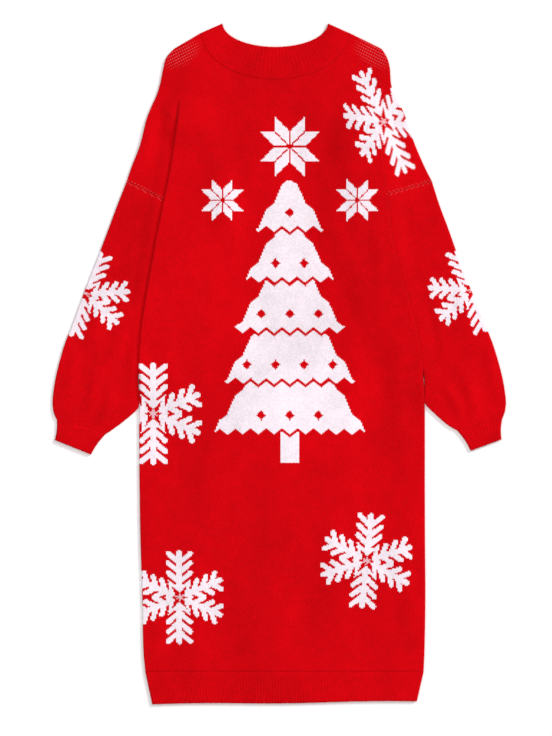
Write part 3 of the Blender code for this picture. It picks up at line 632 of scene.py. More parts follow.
def cloth_object(name, points, cloths, faces, material, motifs=None, seams=None):
    """A named shell, given its wall by Solidify. Its UV maps are the place in the knit and the
    place in the motifs, and its seam attribute is 1 at a sewn edge."""
    points = np.asarray(points, dtype=float)
    points[:, 2] += ridge_lift(points[:, :2]) * bpy.context.scene.dress_sizes.ridge_share
    points[:, :2] -= CENTRE
    mesh = bpy.data.meshes.new(name)
    mesh.from_pydata(points.tolist(), [], faces)
    work = bmesh.new()
    work.from_mesh(mesh)
    bmesh.ops.recalc_face_normals(work, faces=work.faces)
    work.to_mesh(mesh)
    work.free()
    corners = np.empty(len(mesh.loops), dtype=np.int64)
    mesh.loops.foreach_get("vertex_index", corners)
    for kind, places in (("cloth", cloths), ("motif", motifs or cloths)):
        layer = mesh.uv_layers.new(name=kind)
        layer.data.foreach_set("uv", np.asarray(places, dtype=float)[corners].ravel())
    seam = mesh.attributes.new("seam", "FLOAT", "POINT")
    seam.data.foreach_set("value", seams or [0.0] * len(points))
    mesh.shade_smooth()
    mesh.materials.append(material)
    obj = bpy.data.objects.new(name, mesh)
    bpy.context.scene.collection.objects.link(obj)
    wall = obj.modifiers.new("wall", "SOLIDIFY")
    wall.thickness = WALL
    wall.offset = 0.0
    # Keeps the wall's narrow rims from darkening the cloth beside them
    even = obj.modifiers.new("even_normals", "WEIGHTED_NORMAL")
    even.mode = "FACE_AREA"
    even.weight = 90
    return obj


def panel(name, layer, material):
    """The front or the back panel, folded at both sides."""
    rows = panel_rows()
    underarm_row = EDGE_STEPS + TOP_COUNT + PLEAT_COUNT
    pocket_last = underarm_row + POCKET_COUNT
    edge_end = MID_COLUMNS + EDGE_STEPS
    flap_end = MID_COLUMNS + ARC_STEPS + 1 + EDGE_STEPS
    full_end = MID_COLUMNS + 2 * ARC_STEPS + 1 + SHOULDER_COLUMNS + EDGE_STEPS
    points, cloths, motifs, seams, index, faces = [], [], [], [], {}, []

    def vertex(row, column):
        if row > pocket_last:
            column = max(-edge_end, min(edge_end, column))
        middle, left, right = rows[row]
        spot = middle
        if column:
            spot = (right if column > 0 else left)[abs(column) - 1]
        where = (*spot.plan, getattr(spot, layer))
        key = tuple(round(c / MERGE_WITHIN) for c in where)
        if key not in index:
            index[key] = len(points)
            points.append(where)
            cloths.append(spot.cloth)
            motifs.append(spot.plan)
            rows_off = underarm_row - row
            sewn = 0 <= rows_off < SEWN_ROWS and abs(column) > MID_COLUMNS + ARC_STEPS
            seams.append(1.0 - rows_off / SEWN_ROWS if sewn else 0.0)
        return index[key]

    for row in range(len(rows) - 1):
        reach = full_end if row < underarm_row else flap_end
        if row > pocket_last:
            reach = edge_end
        for column in range(-reach, reach):
            steps = ((0, 0), (0, 1), (1, 1), (1, 0))
            face = [vertex(row + down, column + out) for down, out in steps]
            face = [corner for i, corner in enumerate(face) if corner != face[i - 1]]
            if len(set(face)) > 2:
                faces.append(face)
    return cloth_object(name, points, cloths, faces, material, motifs, seams)


def tube_section(front, back):
    """Closed section of a flat tube from (plan, height) lists that run from the inner fold to the
    outer one."""
    points = [(*plan, height) for plan, height in front]
    points += fold_points(front[-1], back[-1], front[-2])
    points += [(*plan, height) for plan, height in reversed(back)]
    return points + fold_points(front[0], back[0], front[1])[::-1]


def fold_points(upper, lower, before):
    """Points of the half circle that closes a section past the spot before it."""
    along = (upper[0] - before[0]).normalized()
    radius = (upper[1] - lower[1]) / 2
    centre = (upper[1] + lower[1]) / 2
    points = []
    for i in range(1, ARC_STEPS):
        angle = math.pi * i / ARC_STEPS
        plan = upper[0] + along * (radius * math.sin(angle))
        points.append((*plan, centre + radius * math.cos(angle)))
    return points


def grid_faces(rows, count, closed):
    """Faces between rows of as many points each, all round if closed."""
    faces = []
    for r in range(rows - 1):
        for i in range(count if closed else count - 1):
            a, b = r * count + i, r * count + (i + 1) % count
            faces.append([a, b, b + count, a + count])
    return faces


def tube(name, sections, cloths, material, seams=None):
    """An open-ended tube through closed sections of equal length."""
    points = [point for section in sections for point in section]
    faces = grid_faces(len(sections), len(sections[0]), closed=True)
    return cloth_object(name, points, cloths, faces, material, seams=seams)


def row_ends(side, row):
    """The inner and the outer end of a sleeve's or a cuff's row, in plan."""
    inner, outer = (row.inner_out, row.inner_up), (row.outer_out, row.outer_up)
    return [place(side, out * MM, up * MM) for out, up in (inner, outer)]


def sleeve_row_at(rows, position):
    """The sleeve table's row at a position along it, on smooth curves through its columns."""
    i = min(int(position), len(rows) - 2)
    near = [rows[min(max(k, 0), len(rows) - 1)] for k in range(i - 1, i + 3)]
    values = []
    for before, start, end, after in zip(*near):
        values.append(curve(position - i, start, end, (end - before) / 2, (after - start) / 2))
    return SleeveRow(*values)


def sleeve(side, material):
    """A full sleeve, high where it lies in the pocket and low outside it."""
    rows = SLEEVE_ROWS[side]
    top, elbow = [place(side, *rows[k][:2]) for k in (0, ELBOW_ROW)]
    down = (elbow - top).normalized()
    across = Vector((-down.y, down.x))
    centre = Vector(SLEEVE_CRYSTALS[side][:2]) * MM
    sections, cloths, seams = [], [], []
    for k in range((len(rows) - 1) * SLEEVE_STEPS + 1):
        row = sleeve_row_at(rows, max(k / SLEEVE_STEPS, SEWN_START))
        inner, outer = row_ends(side, row)
        along = (outer - inner).normalized()
        inner += along * (ARC_REACH * smooth(k / SLEEVE_STEPS - (len(rows) - 2)))
        whole = (outer - inner).length - ARC_REACH
        hidden = hidden_length(side, inner, along, whole)
        front, back, plans = [], [], []
        for i in range(SLEEVE_COLUMNS + 1):
            reach = whole * i / SLEEVE_COLUMNS
            past = reach - hidden
            puff = SLEEVE_PUFF * row.puff * math.sin(math.pi * smooth(past / (whole - hidden)))
            low = FLOOR_MID + stack_height(past, 2 * PITCH * row.lift)
            plans.append(inner + along * reach)
            front.append((plans[-1], low + PITCH + puff))
            back.append((plans[-1], low))
        points = tube_section(front, back)
        sections.append(points)
        seams += [max(1.0 - k / SEWN_ROWS, 0.0)] * len(points)
        edge = (outer - centre).dot(across)
        fold = ARC_STEPS - 1
        round_plans = plans + plans[-1:] * fold + plans[::-1] + plans[:1] * fold
        for i, (plan, point) in enumerate(zip(round_plans, points)):
            u = (Vector(point[:2]) - centre).dot(across)
            if 0 <= i - len(plans) - fold < len(plans):  # on the sleeve's back
                u = 2 * edge - u
            cloths.append((u, -(plan - centre).dot(down)))
    return tube("sleeve_knit_" + side, sections, cloths, material, seams)


def rib_wave(position):
    """0 in a valley and 1 on a rib, at a position counted in ribs."""
    return 0.5 - 0.5 * math.cos(2 * math.pi * position)


def ribbed_tube(name, steps, plans_at, ease_at, height, material):
    """A flat tube with ribs on its upper side, as high as height in the knit, in millimetres. The
    plans of a row and the share of the ribs' height there depend on the share of the way down."""
    rib_height = bpy.context.scene.dress_sizes.rib_height
    sections, cloths = [], []
    for k in range(steps + 1):
        share = k / steps
        front, back = [], []
        for i, plan in enumerate(plans_at(share)):
            rib = rib_height * rib_wave(i / RIB_FACETS) * ease_at(share)
            front.append((plan, FRONT_MID + rib))
            back.append((plan, FLOOR_MID))
        sections.append(tube_section(front, back))
        for i in range(len(sections[0])):
            cloths.append((i * RIB_PITCH / RIB_FACETS, share * height * MM))
    return tube(name, sections, cloths, material)


def cuff(side, material):
    """A ribbed cuff. Its ribs stand out all round but on the side that rests on the floor."""
    top, end = CUFF_ROWS[side]
    columns = RIB_FACETS * round((end.outer_out - end.inner_out) * MM / RIB_PITCH)

    def plans_at(share):
        row = CuffRow(*[a + (b - a) * share for a, b in zip(top, end)])
        inner, outer = row_ends(side, row)
        inset = (outer - inner).normalized() * (ARC_REACH + CUFF_WAIST * math.sin(math.pi * share))
        first, last = inner + inset, outer - inset
        return [first + (last - first) * (i / columns) for i in range(columns + 1)]

    height = (place(side, *end[:2]) - place(side, *top[:2])).length
    return ribbed_tube("cuff_knit_" + side, CUFF_STEPS, plans_at, lambda _: 1.0, height, material)


def collar(material):
    """The ribbed neckband, front over back, folded at the shoulders."""
    columns = RIB_FACETS * COLLAR_RIBS

    def plans_at(share):
        start = math.asin(COLLAR_FOLD / (NECK_DEPTH + (COLLAR_SEAM_DEPTH - NECK_DEPTH) * share))
        plans = []
        for i in range(columns + 1):
            angle = math.pi - start - (math.pi - 2 * start) * i / columns
            top = neck_edge(angle)
            plans.append(top + (collar_seam(angle) - top) * share)
        return plans

    def ease_at(share):
        """The ribs start low at the neck, and run out towards the seam."""
        return (0.3 + 0.7 * smooth(share * 5)) * (1 - smooth((share - 0.6) / 0.4))

    return ribbed_tube("collar_knit", COLLAR_STEPS, plans_at, ease_at, -COLLAR_KNIT, material)


def hem_band(layer, material):
    """Half of the ribbed hem. The front's ribs stand out, and the back lies flat."""
    flat, sense, height = FLOOR_MID, -1, 0.0
    if layer == "front":
        height = bpy.context.scene.dress_sizes.rib_height * HEM_RIB_SHARE
        flat, sense = FRONT_MID, 1
    columns = RIB_FACETS * round((HEM_CORNER["left"][0] + HEM_CORNER["right"][0]) / RIB_PITCH)
    roll = walk(edge_steps(SEAM_DROP))[1:]
    points, cloths = [], []
    for k in range(HEM_STEPS + 1):
        share = k / HEM_STEPS
        ends = []
        for side in SIDES:
            upper, lower = crease_at(side, HEM_TOP), place(side, *HEM_CORNER[side])
            ends.append(upper + (lower - upper) * share)
        along = (ends[1] - ends[0]).normalized()
        inset = along * edge_reach(SEAM_DROP)
        first, last = ends[0] + inset, ends[1] - inset
        row = [(*(first - along * out), flat - sense * fall) for out, fall in reversed(roll)]
        ease = smooth(share * 4)
        for i in range(columns + 1):
            plan = first + (last - first) * (i / columns)
            plan.y += HEM_WAVE * share * math.sin(3 * math.pi * i / columns)
            row.append((*plan, flat + sense * height * ease * rib_wave(i / RIB_FACETS)))
        row += [(*(last + along * out), flat - sense * fall) for out, fall in roll]
        points += row
        cloths += [(i * RIB_PITCH / RIB_FACETS, -share * HEM_TOP) for i in range(len(row))]
    faces = grid_faces(HEM_STEPS + 1, len(row), closed=False)
    return cloth_object("hem_knit_" + layer, points, cloths, faces, material)


def signed(operation, swap=False):
    """A method that adds a math node to the value's tree."""

    def apply(self, *others):
        values = (*others, self) if swap else (self, *others)
        return self.graph.math(operation, *values)

    return apply


class Value:
    """A number in a node tree, which takes the usual signs. A comparison gives 1 or 0."""

    __add__, __radd__ = signed("ADD"), signed("ADD", swap=True)
    __sub__, __rsub__ = signed("SUBTRACT"), signed("SUBTRACT", swap=True)
    __mul__, __truediv__ = signed("MULTIPLY"), signed("DIVIDE")
    __lt__, __gt__ = signed("LESS_THAN"), signed("GREATER_THAN")
    __abs__, __floor__ = signed("ABSOLUTE"), signed("FLOOR")

    def __init__(self, graph, socket):
        self.graph, self.socket = graph, socket


class Graph:
    """Adds nodes to a tree and joins them."""

    def __init__(self, tree):
        self.tree = tree

    def node(self, kind, inputs=(), **settings):
        """A node with its settings and its first inputs."""
        made = self.tree.nodes.new(kind)
        for key, value in settings.items():
            setattr(made, key, value)
        for socket, value in zip(made.inputs, inputs):
            self.feed(socket, value)
        return made

    def feed(self, socket, value):
        value = value.socket if isinstance(value, Value) else value
        if isinstance(value, bpy.types.NodeSocket):
            self.tree.links.new(value, socket)
        else:
            socket.default_value = value

    def math(self, operation, *values, clamp=False):
        made = self.node("ShaderNodeMath", values, operation=operation, use_clamp=clamp)
        return Value(self, made.outputs[0])

    def least(self, first, second):
        return self.math("MINIMUM", first, second)

    def most(self, first, second):
        return self.math("MAXIMUM", first, second)

    def hypotenuse(self, across, along):
        return self.math("SQRT", across * across + along * along)

    def length(self, vector):
        made = self.node("ShaderNodeVectorMath", [vector], operation="LENGTH")
        return Value(self, made.outputs["Value"])

    def split(self, vector):
        """The first two coordinates of a vector."""
        made = self.node("ShaderNodeSeparateXYZ", [vector])
        return Value(self, made.outputs[0]), Value(self, made.outputs[1])

    def mix(self, kind, factor, first, second):
        """Mixes two colours (RGBA) or two vectors (VECTOR)."""
        at, result = {"VECTOR": (4, 1), "RGBA": (6, 2)}[kind]
        made = self.node("ShaderNodeMix", [factor], data_type=kind)
        self.feed(made.inputs[at], first)
        self.feed(made.inputs[at + 1], second)
        return made.outputs[result]

    def noise(self, place, scale, detail):
        """Noise about 0."""
        made = self.node("ShaderNodeTexNoise", [place])
        made.inputs["Scale"].default_value = scale
        made.inputs["Detail"].default_value = detail
        return Value(self, made.outputs[0]) - 0.5

    def use(self, draw, outputs, **inputs):
        """Places the shader node group that draw makes, and gives its outputs by name. The group
        is built once: draw gets its graph and its inputs, and gives its outputs in order."""
        name = draw.__name__
        if name not in bpy.data.node_groups:
            tree = bpy.data.node_groups.new(name, "ShaderNodeTree")
            for way, sockets in (("INPUT", inputs), ("OUTPUT", outputs)):
                for socket in sockets:
                    kind = "NodeSocketVector" if socket == "Place" else "NodeSocketFloat"
                    tree.interface.new_socket(name=socket, in_out=way, socket_type=kind)
            g = Graph(tree)
            entry, leave = g.node("NodeGroupInput"), g.node("NodeGroupOutput")
            results = draw(g, *[Value(g, entry.outputs[socket]) for socket in inputs])
            for socket, result in zip(outputs, results):
                g.feed(leave.inputs[socket], result)
        made = self.node("ShaderNodeGroup", node_tree=bpy.data.node_groups[name])
        for socket, value in inputs.items():
            self.feed(made.inputs[socket], value)
        return {socket: Value(self, made.outputs[socket]) for socket in outputs}


def plain_knit_stitches(g, across, along, wale, course):
    """The centre of the stitch that a place is in, the yarn's relief there, and a number by
    chance for each stitch."""
    columns = across / wale
    column = math.floor(columns)
    spread = abs(columns - column - 0.5) * 2.0
    rows = along / course - spread * STITCH_SLANT
    row = math.floor(rows)
    through = (rows - row) * 2.0 - 1.0
    leg = spread * 2.0 - 1.0
    relief = (1.0 - through * through) * (1.0 - leg * leg * 0.85)
    joined = g.node("ShaderNodeCombineXYZ", [column, row]).outputs[0]
    chance = g.node("ShaderNodeTexWhiteNoise", noise_dimensions="2D")
    g.feed(chance.inputs["Vector"], joined)
    middle = (column + 0.5) * wale, (row + STITCH_MIDDLE) * course
    return *middle, relief, Value(g, chance.outputs["Value"])


def knit(g, across, along, wale):
    """The stitches at a place in the cloth, by name of what the group puts out."""
    outputs = ["Middle Across", "Middle Along", "Relief", "Chance"]
    inputs = {"Across": across, "Along": along, "Wale": wale}
    inputs["Course"] = bpy.context.scene.dress_sizes.course
    return g.use(plain_knit_stitches, outputs, **inputs)


def snow_crystal(g, across, along):
    """A crystal of radius 1 with two upright arms and four slanting ones. All lie on one arm: x is
    the place along it and y off it."""
    length = g.hypotenuse(across, along)
    angle = g.math("ARCTAN2", abs(along), abs(across))
    upright = angle > math.radians(ARM_SECTOR)
    arm = math.radians(LOW_ARM) + upright * math.radians(90 - LOW_ARM)
    off = abs(angle - arm)
    x, y = length * g.math("COSINE", off), length * g.math("SINE", off)
    spine = g.hypotenuse(y, g.most(x - ARM_END, 0.0)) < SPINE_HALF
    # Barbs slant towards the arm's tip, and end round
    slanted = x - y * BARB_SLANT
    off = g.math("WRAP", slanted - BARB_START, BARB_SPACING / 2, -BARB_SPACING / 2)
    past_end = off * 0.657 + y * 1.326 - (BARB_LENGTH + upright * UPRIGHT_EXTRA)
    barb = g.hypotenuse(off * 0.755, g.most(past_end, 0.0)) < BARB_HALF
    barb = barb * (slanted < LAST_BARB)
    white = g.most(g.most(spine, barb), x < CORE_RADIUS)
    # A red star between the arms' inner ends, and a thin spark in it
    white = white * ((x - 0.10) * 0.12 - y * 0.108 > 0.0)
    spark = (y < 0.015) * (length < 0.085)
    return [g.most(white, spark * 0.6)]


def eight_pointed_star(g, across, along):
    """A traditional star of radius 1, of eight slanting petals."""
    across, along = abs(across), abs(along)
    low = g.least(across, along)
    rest = g.most(across, along) - low
    return [(g.least(low, rest) > PETAL_GAP) * (g.most(low, rest) < 0.5)]


def fir_tree(g, across, along):
    """A fir tree of even tiers with toothed lower edges and red baubles. Across is from its middle
    and along above the hem, in millimetres."""
    across = abs(across)
    teeth = g.math("PINGPONG", across, BOUGH_WIDTH)
    tiers = (FIR_TOP - along + teeth * BOUGH_SLANT) / TIER_HEIGHT
    tier, share = math.floor(tiers), g.math("FRACT", tiers)
    half = TIER_START + tier * TIER_GROWTH + share * TIER_FLARE
    level = (FIR_TOP - along) / TIER_HEIGHT
    inside = (across < half) * (level > 0.0) * (tiers < TIER_COUNT)
    inside = inside * g.most(share > TIER_GAP, tier < 0.5)
    row = math.floor(level)
    off_level = abs(level - row - BAUBLE_LEVEL)
    shift = row * BAUBLE_SPACING
    centre = g.math("SNAP", across + shift + BAUBLE_SPACING, 2 * BAUBLE_SPACING) - shift
    bauble = abs(across - centre) + off_level * TIER_HEIGHT < BAUBLE_SIZE
    room = TIER_START + BAUBLE_LEVEL * TIER_FLARE - 1.6 * BAUBLE_SIZE
    inside = inside - inside * (bauble * (centre < row * TIER_GROWTH + room))
    trunk = (across < TRUNK_HALF) * (along > FIR_FOOT) * (tiers > TIER_COUNT + TIER_GAP)
    return [g.most(inside, trunk)]


def opened_stitches(g, across, along):
    """A slanting lattice of dots."""
    rows = (along + abs(across) * 0.5) / LATTICE_ROW
    steps = across / LATTICE_STEP + math.floor(rows) * 0.5
    off_row = (g.math("FRACT", rows) - 0.5) * (LATTICE_ROW / MM)
    off_dot = (g.math("FRACT", steps) - 0.5) * (LATTICE_STEP / MM)
    return [off_row * off_row + off_dot * off_dot < DOT_SQUARE]


def uneven_yarn(g, place, relief, chance):
    """Painted shade between the stitches, tone that differs at random from stitch to stitch,
    painted soft shading of the drape over the cloth, and the height of the yarn with its loose
    hairs."""
    stretched = g.node("ShaderNodeVectorMath", [place, (1.6, 0.7, 1.0)], operation="MULTIPLY")
    # Painted shade in the low parts between the stitches, and a random tone for each stitch
    shade = 0.89 + relief * 0.18 + (chance - 0.5) * 0.15
    # Painted shade: two noises, one stretched along the cloth, give soft bands and patches that
    # stand in for the shading of the drape
    shade = shade + g.noise(stretched.outputs[0], 7.0, 2.0) * 0.46
    shade = shade + g.noise(place, 45.0, 3.0) * 0.22
    return shade, relief + g.noise(place, 1500.0, 2.0) * 0.5


def from_centre(g, place, thing, half_width, half_height, turn=0.0):
    """A place relative to a thing's centre, turned, and scaled to a circle of radius 1."""
    location = (thing.across * MM, thing.along * MM, 0.0)
    rotation = (0.0, 0.0, math.radians(turn))
    scale = (half_width * MM, half_height * MM, 1.0)
    inputs = [place, location, rotation, scale]
    return g.node("ShaderNodeMapping", inputs, vector_type="TEXTURE").outputs[0]


def motif(g, draw, places):
    """1 where a motif is white. Of its relative places, it is drawn at the nearest."""
    best, distance = places[0], g.length(places[0])
    for other in places[1:]:
        length = g.length(other)
        best = g.mix("VECTOR", length < distance, best, other)
        distance = g.least(length, distance)
    across, along = g.split(best)
    return g.use(draw, ["White"], Across=across, Along=along)["White"]


def new_knit(name):
    """A matt yarn material, its graph and its shader."""
    look = bpy.context.scene.dress_look
    material = bpy.data.materials.new(name)
    material.use_nodes = True
    shader = material.node_tree.nodes["Principled BSDF"]
    shader.inputs["Roughness"].default_value = 0.9
    shader.inputs["Specular IOR Level"].default_value = 0.04
    shader.inputs["Sheen Weight"].default_value = look.fuzz
    shader.inputs["Sheen Roughness"].default_value = 0.5
    shader.inputs["Sheen Tint"].default_value = (*look.fuzz_tint, 1.0)
    return material, Graph(material.node_tree), shader


def finish_yarn(g, shader, stitches, white, pale, opened=None):
    """Colours the yarn, darkens it by painted shade, and raises its stitches. Pale floats show as
    dots between opened ones.
    """
    place = g.node("ShaderNodeTexCoord").outputs["Object"]
    relief, chance = stitches["Relief"], stitches["Chance"]
    yarn = g.use(uneven_yarn, ["Shade", "Height"], Place=place, Relief=relief, Chance=chance)
    # For the ribbing, the white mask marks the rib valleys and pale is their darker red of painted
    # shade
    colour = g.mix("RGBA", white, (*bpy.context.scene.dress_look.red, 1.0), pale)
    if opened is not None:
        colour = g.mix("RGBA", opened * 0.34, colour, (0.95, 0.36, 0.38, 1.0))
    # The colour is multiplied by the painted shade
    shaded = g.node("ShaderNodeVectorMath", [colour], operation="SCALE")
    g.feed(shaded.inputs["Scale"], yarn["Shade"])
    g.feed(shader.inputs["Base Color"], shaded.outputs[0])
    bump = g.node("ShaderNodeBump")
    bump.inputs["Strength"].default_value = 0.55
    bump.inputs["Distance"].default_value = bpy.context.scene.dress_sizes.relief
    g.feed(bump.inputs["Height"], yarn["Height"] + white * 0.35)
    g.feed(shader.inputs["Normal"], bump.outputs[0])


def knit_material(name, crystals, design=False, stretches=()):
    """Red plain knit with white motifs, each stitch all red or all white. Stitches are opened
    along sewn edges, and where the knit is stretched."""
    material, g, shader = new_knit(name)
    cloth, place = [g.node("ShaderNodeUVMap", uv_map=uv).outputs[0] for uv in ("cloth", "motif")]
    (u, v), (across, along) = g.split(cloth), g.split(place)
    stitches = knit(g, u, v, bpy.context.scene.dress_sizes.wale)
    middle = across + (stitches["Middle Across"] - u), along + (stitches["Middle Along"] - v)
    at = g.node("ShaderNodeCombineXYZ", middle).outputs[0]
    places = [from_centre(g, at, c, c.radius, c.radius * c.stretch, c.tilt) for c in crystals]
    white = motif(g, snow_crystal, places)
    if design:
        stars = [from_centre(g, at, star, star.radius, star.radius) for star in STARS]
        white = g.most(white, motif(g, eight_pointed_star, stars))
        fir = from_centre(g, at, Star(DESIGN_MIDDLE, 0, 1), 1.0, 1.0)
        white = g.most(white, motif(g, fir_tree, [fir]))
    # A little of the red yarn shows between white stitches
    gap = (1.0 - stitches["Relief"]) * 0.22
    pale = g.mix("RGBA", gap, (*bpy.context.scene.dress_look.white, 1.0), (0.90, 0.45, 0.62, 1.0))
    seam = g.node("ShaderNodeAttribute", attribute_name="seam").outputs["Fac"]
    pulled = (Value(g, seam) > 0.7) * 0.6
    for s in stretches:
        off = g.length(from_centre(g, place, s, s.half_length, s.half_width, s.turn))
        pulled = g.most(pulled, g.math("MULTIPLY", 1.05 - off, 1.6, clamp=True))
    dots = g.use(opened_stitches, ["Dot"], Across=across, Along=along)["Dot"]
    finish_yarn(g, shader, stitches, white, pale, dots * pulled)
    return material


def rib_material(name):
    """One-and-one rib: a knit wale on each rib and a purl wale in each valley, painted a slightly
    darker red as shade.
    """
    material, g, shader = new_knit(name)
    u, v = g.split(g.node("ShaderNodeUVMap", uv_map="cloth").outputs[0])
    stitches = knit(g, u + RIB_PITCH / 4, v, RIB_PITCH / 2)
    # Painted shade: the valleys of the ribs are coloured a darker red
    valley = (g.math("COSINE", u * (2 * math.pi / RIB_PITCH)) + 1.0) * 0.5
    finish_yarn(g, shader, stitches, valley, (*bpy.context.scene.dress_look.rib_red, 1.0))
    return material


def declare(piece, node):
    """Hangs a piece from the root's empty and hides the solid that it stands in for. Its mesh is
    open until its wall is given, so that its faces are one side of the cloth."""
    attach(piece, "root")
    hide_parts(node)


class DressSizes(bpy.types.PropertyGroup):
    """Sizes of the knit that can change without the solids."""

    wale: FloatProperty(
        name="Wale", description="Width of one stitch", default=2.2 * MM, min=MM, unit="LENGTH"
    )
    course: FloatProperty(
        name="Course", description="Height of one stitch", default=1.75 * MM, min=MM, unit="LENGTH"
    )
    relief: FloatProperty(
        name="Relief", description="How far a stitch stands out", default=0.5 * MM, unit="LENGTH"
    )
    rib_height: FloatProperty(
        name="Rib height", description="How far ribs stand out", default=0.6 * MM, unit="LENGTH"
    )
    ridge_share: FloatProperty(
        name="Ridges", description="Strength of the soft ridges", default=2.2, subtype="FACTOR"
    )


class DressLook(bpy.types.PropertyGroup):
    """Colours and finish of the yarn."""

    red: FloatVectorProperty(
        name="Red", description="The red yarn", default=(0.67, 0.0006, 0.0039), subtype="COLOR"
    )
    # Painted shade: a darker red for the valleys of the ribs
    rib_red: FloatVectorProperty(
        name="Rib red",
        description="Red in the valleys of the ribs",
        default=(0.635, 0.0006, 0.0037),
        subtype="COLOR",
    )
    white: FloatVectorProperty(
        name="White", description="The white yarn", default=(0.99, 0.91, 0.97), subtype="COLOR"
    )
    fuzz_tint: FloatVectorProperty(
        name="Fuzz tint", description="Loose fibres", default=(0.9, 0.35, 0.38), subtype="COLOR"
    )
    fuzz: FloatProperty(
        name="Fuzz", description="Sheen of the loose fibres", default=0.045, subtype="FACTOR"
    )


class DressStudio(bpy.types.PropertyGroup):
    """Floor, lights and camera."""

    floor: FloatVectorProperty(
        name="Floor", description="Pale floor", default=(0.98, 0.98, 0.98), subtype="COLOR"
    )
    overhead: FloatProperty(
        name="Overhead", description="Power of the lamp overhead", default=76.0, unit="POWER"
    )
    key: FloatProperty(name="Key light", description="Strength of the slanting light", default=1.7)
    fill: FloatProperty(name="Fill", description="Strength of the light all round", default=0.18)
    distance: FloatProperty(
        name="Camera distance", description="Height of the camera", default=6.0, unit="LENGTH"
    )


class DRESS_OT_front_panel(bpy.types.Operator):
    """Knits the front panel with its motifs"""

    bl_idname = "dress.front_panel"
    bl_label = "Front panel"

    def execute(self, context):
        material = knit_material("red_knit_front", BODY_CRYSTALS, True, STRETCHES)
        piece = panel("front_knit", "front", material)
        declare(piece, "front_panel")
        return {"FINISHED"}


class DRESS_OT_back_panel(bpy.types.Operator):
    """Knits the back panel"""

    bl_idname = "dress.back_panel"
    bl_label = "Back panel"

    def execute(self, context):
        material = knit_material("red_knit_back", BODY_CRYSTALS, stretches=STRETCHES)
        piece = panel("back_knit", "back", material)
        declare(piece, "back_panel")
        return {"FINISHED"}


class DRESS_OT_sleeves(bpy.types.Operator):
    """Knits both sleeves"""

    bl_idname = "dress.sleeves"
    bl_label = "Sleeves"

    def execute(self, context):
        for side in SIDES:
            crystal = SLEEVE_CRYSTALS[side]._replace(across=0, along=0)
            piece = sleeve(side, knit_material("red_knit_sleeve_" + side, [crystal]))
            declare(piece, "sleeve_" + side)
        return {"FINISHED"}


class DRESS_OT_ribbing(bpy.types.Operator):
    """Knits the neckband, the cuffs and the hem"""

    bl_idname = "dress.ribbing"
    bl_label = "Ribbing"

    def execute(self, context):
        material = rib_material("red_rib")
        declare(collar(material), "collar")
        for side in SIDES:
            piece = cuff(side, material)
            declare(piece, "cuff_" + side)
        for layer, below in (("front", "hem_knit_back"), ("back", "floor")):
            piece = hem_band(layer, material)
            declare(piece, "hem_rib_" + layer)
        return {"FINISHED"}


def studio_world(studio):
    """A world that is white to look at and gives a weaker light."""
    world = bpy.data.worlds.new("studio")
    world.use_nodes = True
    nodes, g = world.node_tree.nodes, Graph(world.node_tree)
    shown = nodes["Background"]
    shown.inputs["Color"].default_value = (1.0, 1.0, 1.0, 1.0)
    lit = g.node("ShaderNodeBackground", [(1.0, 1.0, 1.0, 1.0), studio.fill])
    seen = g.node("ShaderNodeLightPath").outputs["Is Camera Ray"]
    mixed = g.node("ShaderNodeMixShader", [seen, lit.outputs[0], shown.outputs[0]])
    g.feed(nodes["World Output"].inputs["Surface"], mixed.outputs[0])
    return world


def add_lamp(kind, name, location, **settings):
    """A lamp that points at the dress."""
    bpy.ops.object.light_add(type=kind, location=location)
    lamp = bpy.context.object
    lamp.name = name
    for key, value in settings.items():
        setattr(lamp.data, key, value)
    lamp.rotation_euler = (-lamp.location).to_track_quat("-Z", "Y").to_euler()
    return lamp


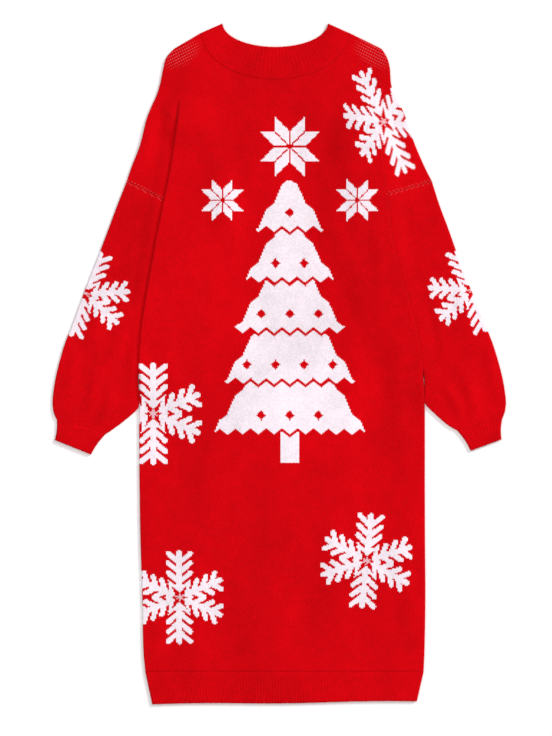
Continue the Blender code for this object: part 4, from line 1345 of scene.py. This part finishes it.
class DRESS_OT_stage(bpy.types.Operator):
    """Lays the floor and sets the lights and the camera"""

    bl_idname = "dress.stage"
    bl_label = "Stage"

    def execute(self, context):
        studio = context.scene.dress_studio
        bpy.ops.object.select_all(action="DESELECT")
        bpy.ops.mesh.primitive_plane_add(size=FLOOR_SIZE, location=(0.0, 0.0, FLOOR_LEVEL))
        floor = context.object
        floor.name = "floor"
        paint = bpy.data.materials.new("pale_floor")
        paint.use_nodes = True
        shader = paint.node_tree.nodes["Principled BSDF"]
        shader.inputs["Base Color"].default_value = (*studio.floor, 1.0)
        shader.inputs["Roughness"].default_value = 0.95
        shader.inputs["Specular IOR Level"].default_value = 0.1
        floor.data.materials.append(paint)
        context.scene.view_settings.view_transform = "Standard"
        context.scene.world = studio_world(studio)
        overhead = add_lamp("AREA", "overhead", (-0.1, 0.1, 3.2), size=3.0, energy=studio.overhead)
        overhead.visible_camera = False
        add_lamp("SUN", "key", (2.5, 2.0, 2.3), energy=studio.key, angle=math.radians(14))
        bpy.ops.object.camera_add(location=(*CAMERA_MIDDLE, studio.distance))
        camera = context.object
        camera.data.sensor_fit = "VERTICAL"
        camera.data.sensor_height = SENSOR
        camera.data.lens = SENSOR * studio.distance / VIEW_HEIGHT
        context.scene.camera = camera
        return {"FINISHED"}


class DRESS_PT_pieces(bpy.types.Panel):
    """Lists the dress's pieces"""

    bl_idname = "DRESS_PT_pieces"
    bl_label = "Sweater dress"
    bl_space_type = "VIEW_3D"
    bl_region_type = "UI"
    bl_category = "Dress"

    def draw(self, context):
        for name in GROUPS:
            group = getattr(context.scene, name)
            for size in group.__annotations__:
                self.layout.prop(group, size)
        for operator in OPERATORS:
            self.layout.operator(operator.bl_idname)


GROUPS = {"dress_sizes": DressSizes, "dress_look": DressLook, "dress_studio": DressStudio}
OPERATORS = [
    DRESS_OT_stage, DRESS_OT_back_panel, DRESS_OT_sleeves, DRESS_OT_front_panel, DRESS_OT_ribbing
]


def register():
    for item in (*GROUPS.values(), *OPERATORS, DRESS_PT_pieces):
        bpy.utils.register_class(item)
    for name, group in GROUPS.items():
        setattr(bpy.types.Scene, name, bpy.props.PointerProperty(type=group))


def unregister():
    for name in GROUPS:
        delattr(bpy.types.Scene, name)
    for item in (DRESS_PT_pieces, *OPERATORS, *GROUPS.values()):
        bpy.utils.unregister_class(item)


def main():
    register()
    bpy.ops.dress.stage()
    bpy.ops.dress.back_panel()
    bpy.ops.dress.sleeves()
    bpy.ops.dress.front_panel()
    bpy.ops.dress.ribbing()


if __name__ == "__main__":
    main()
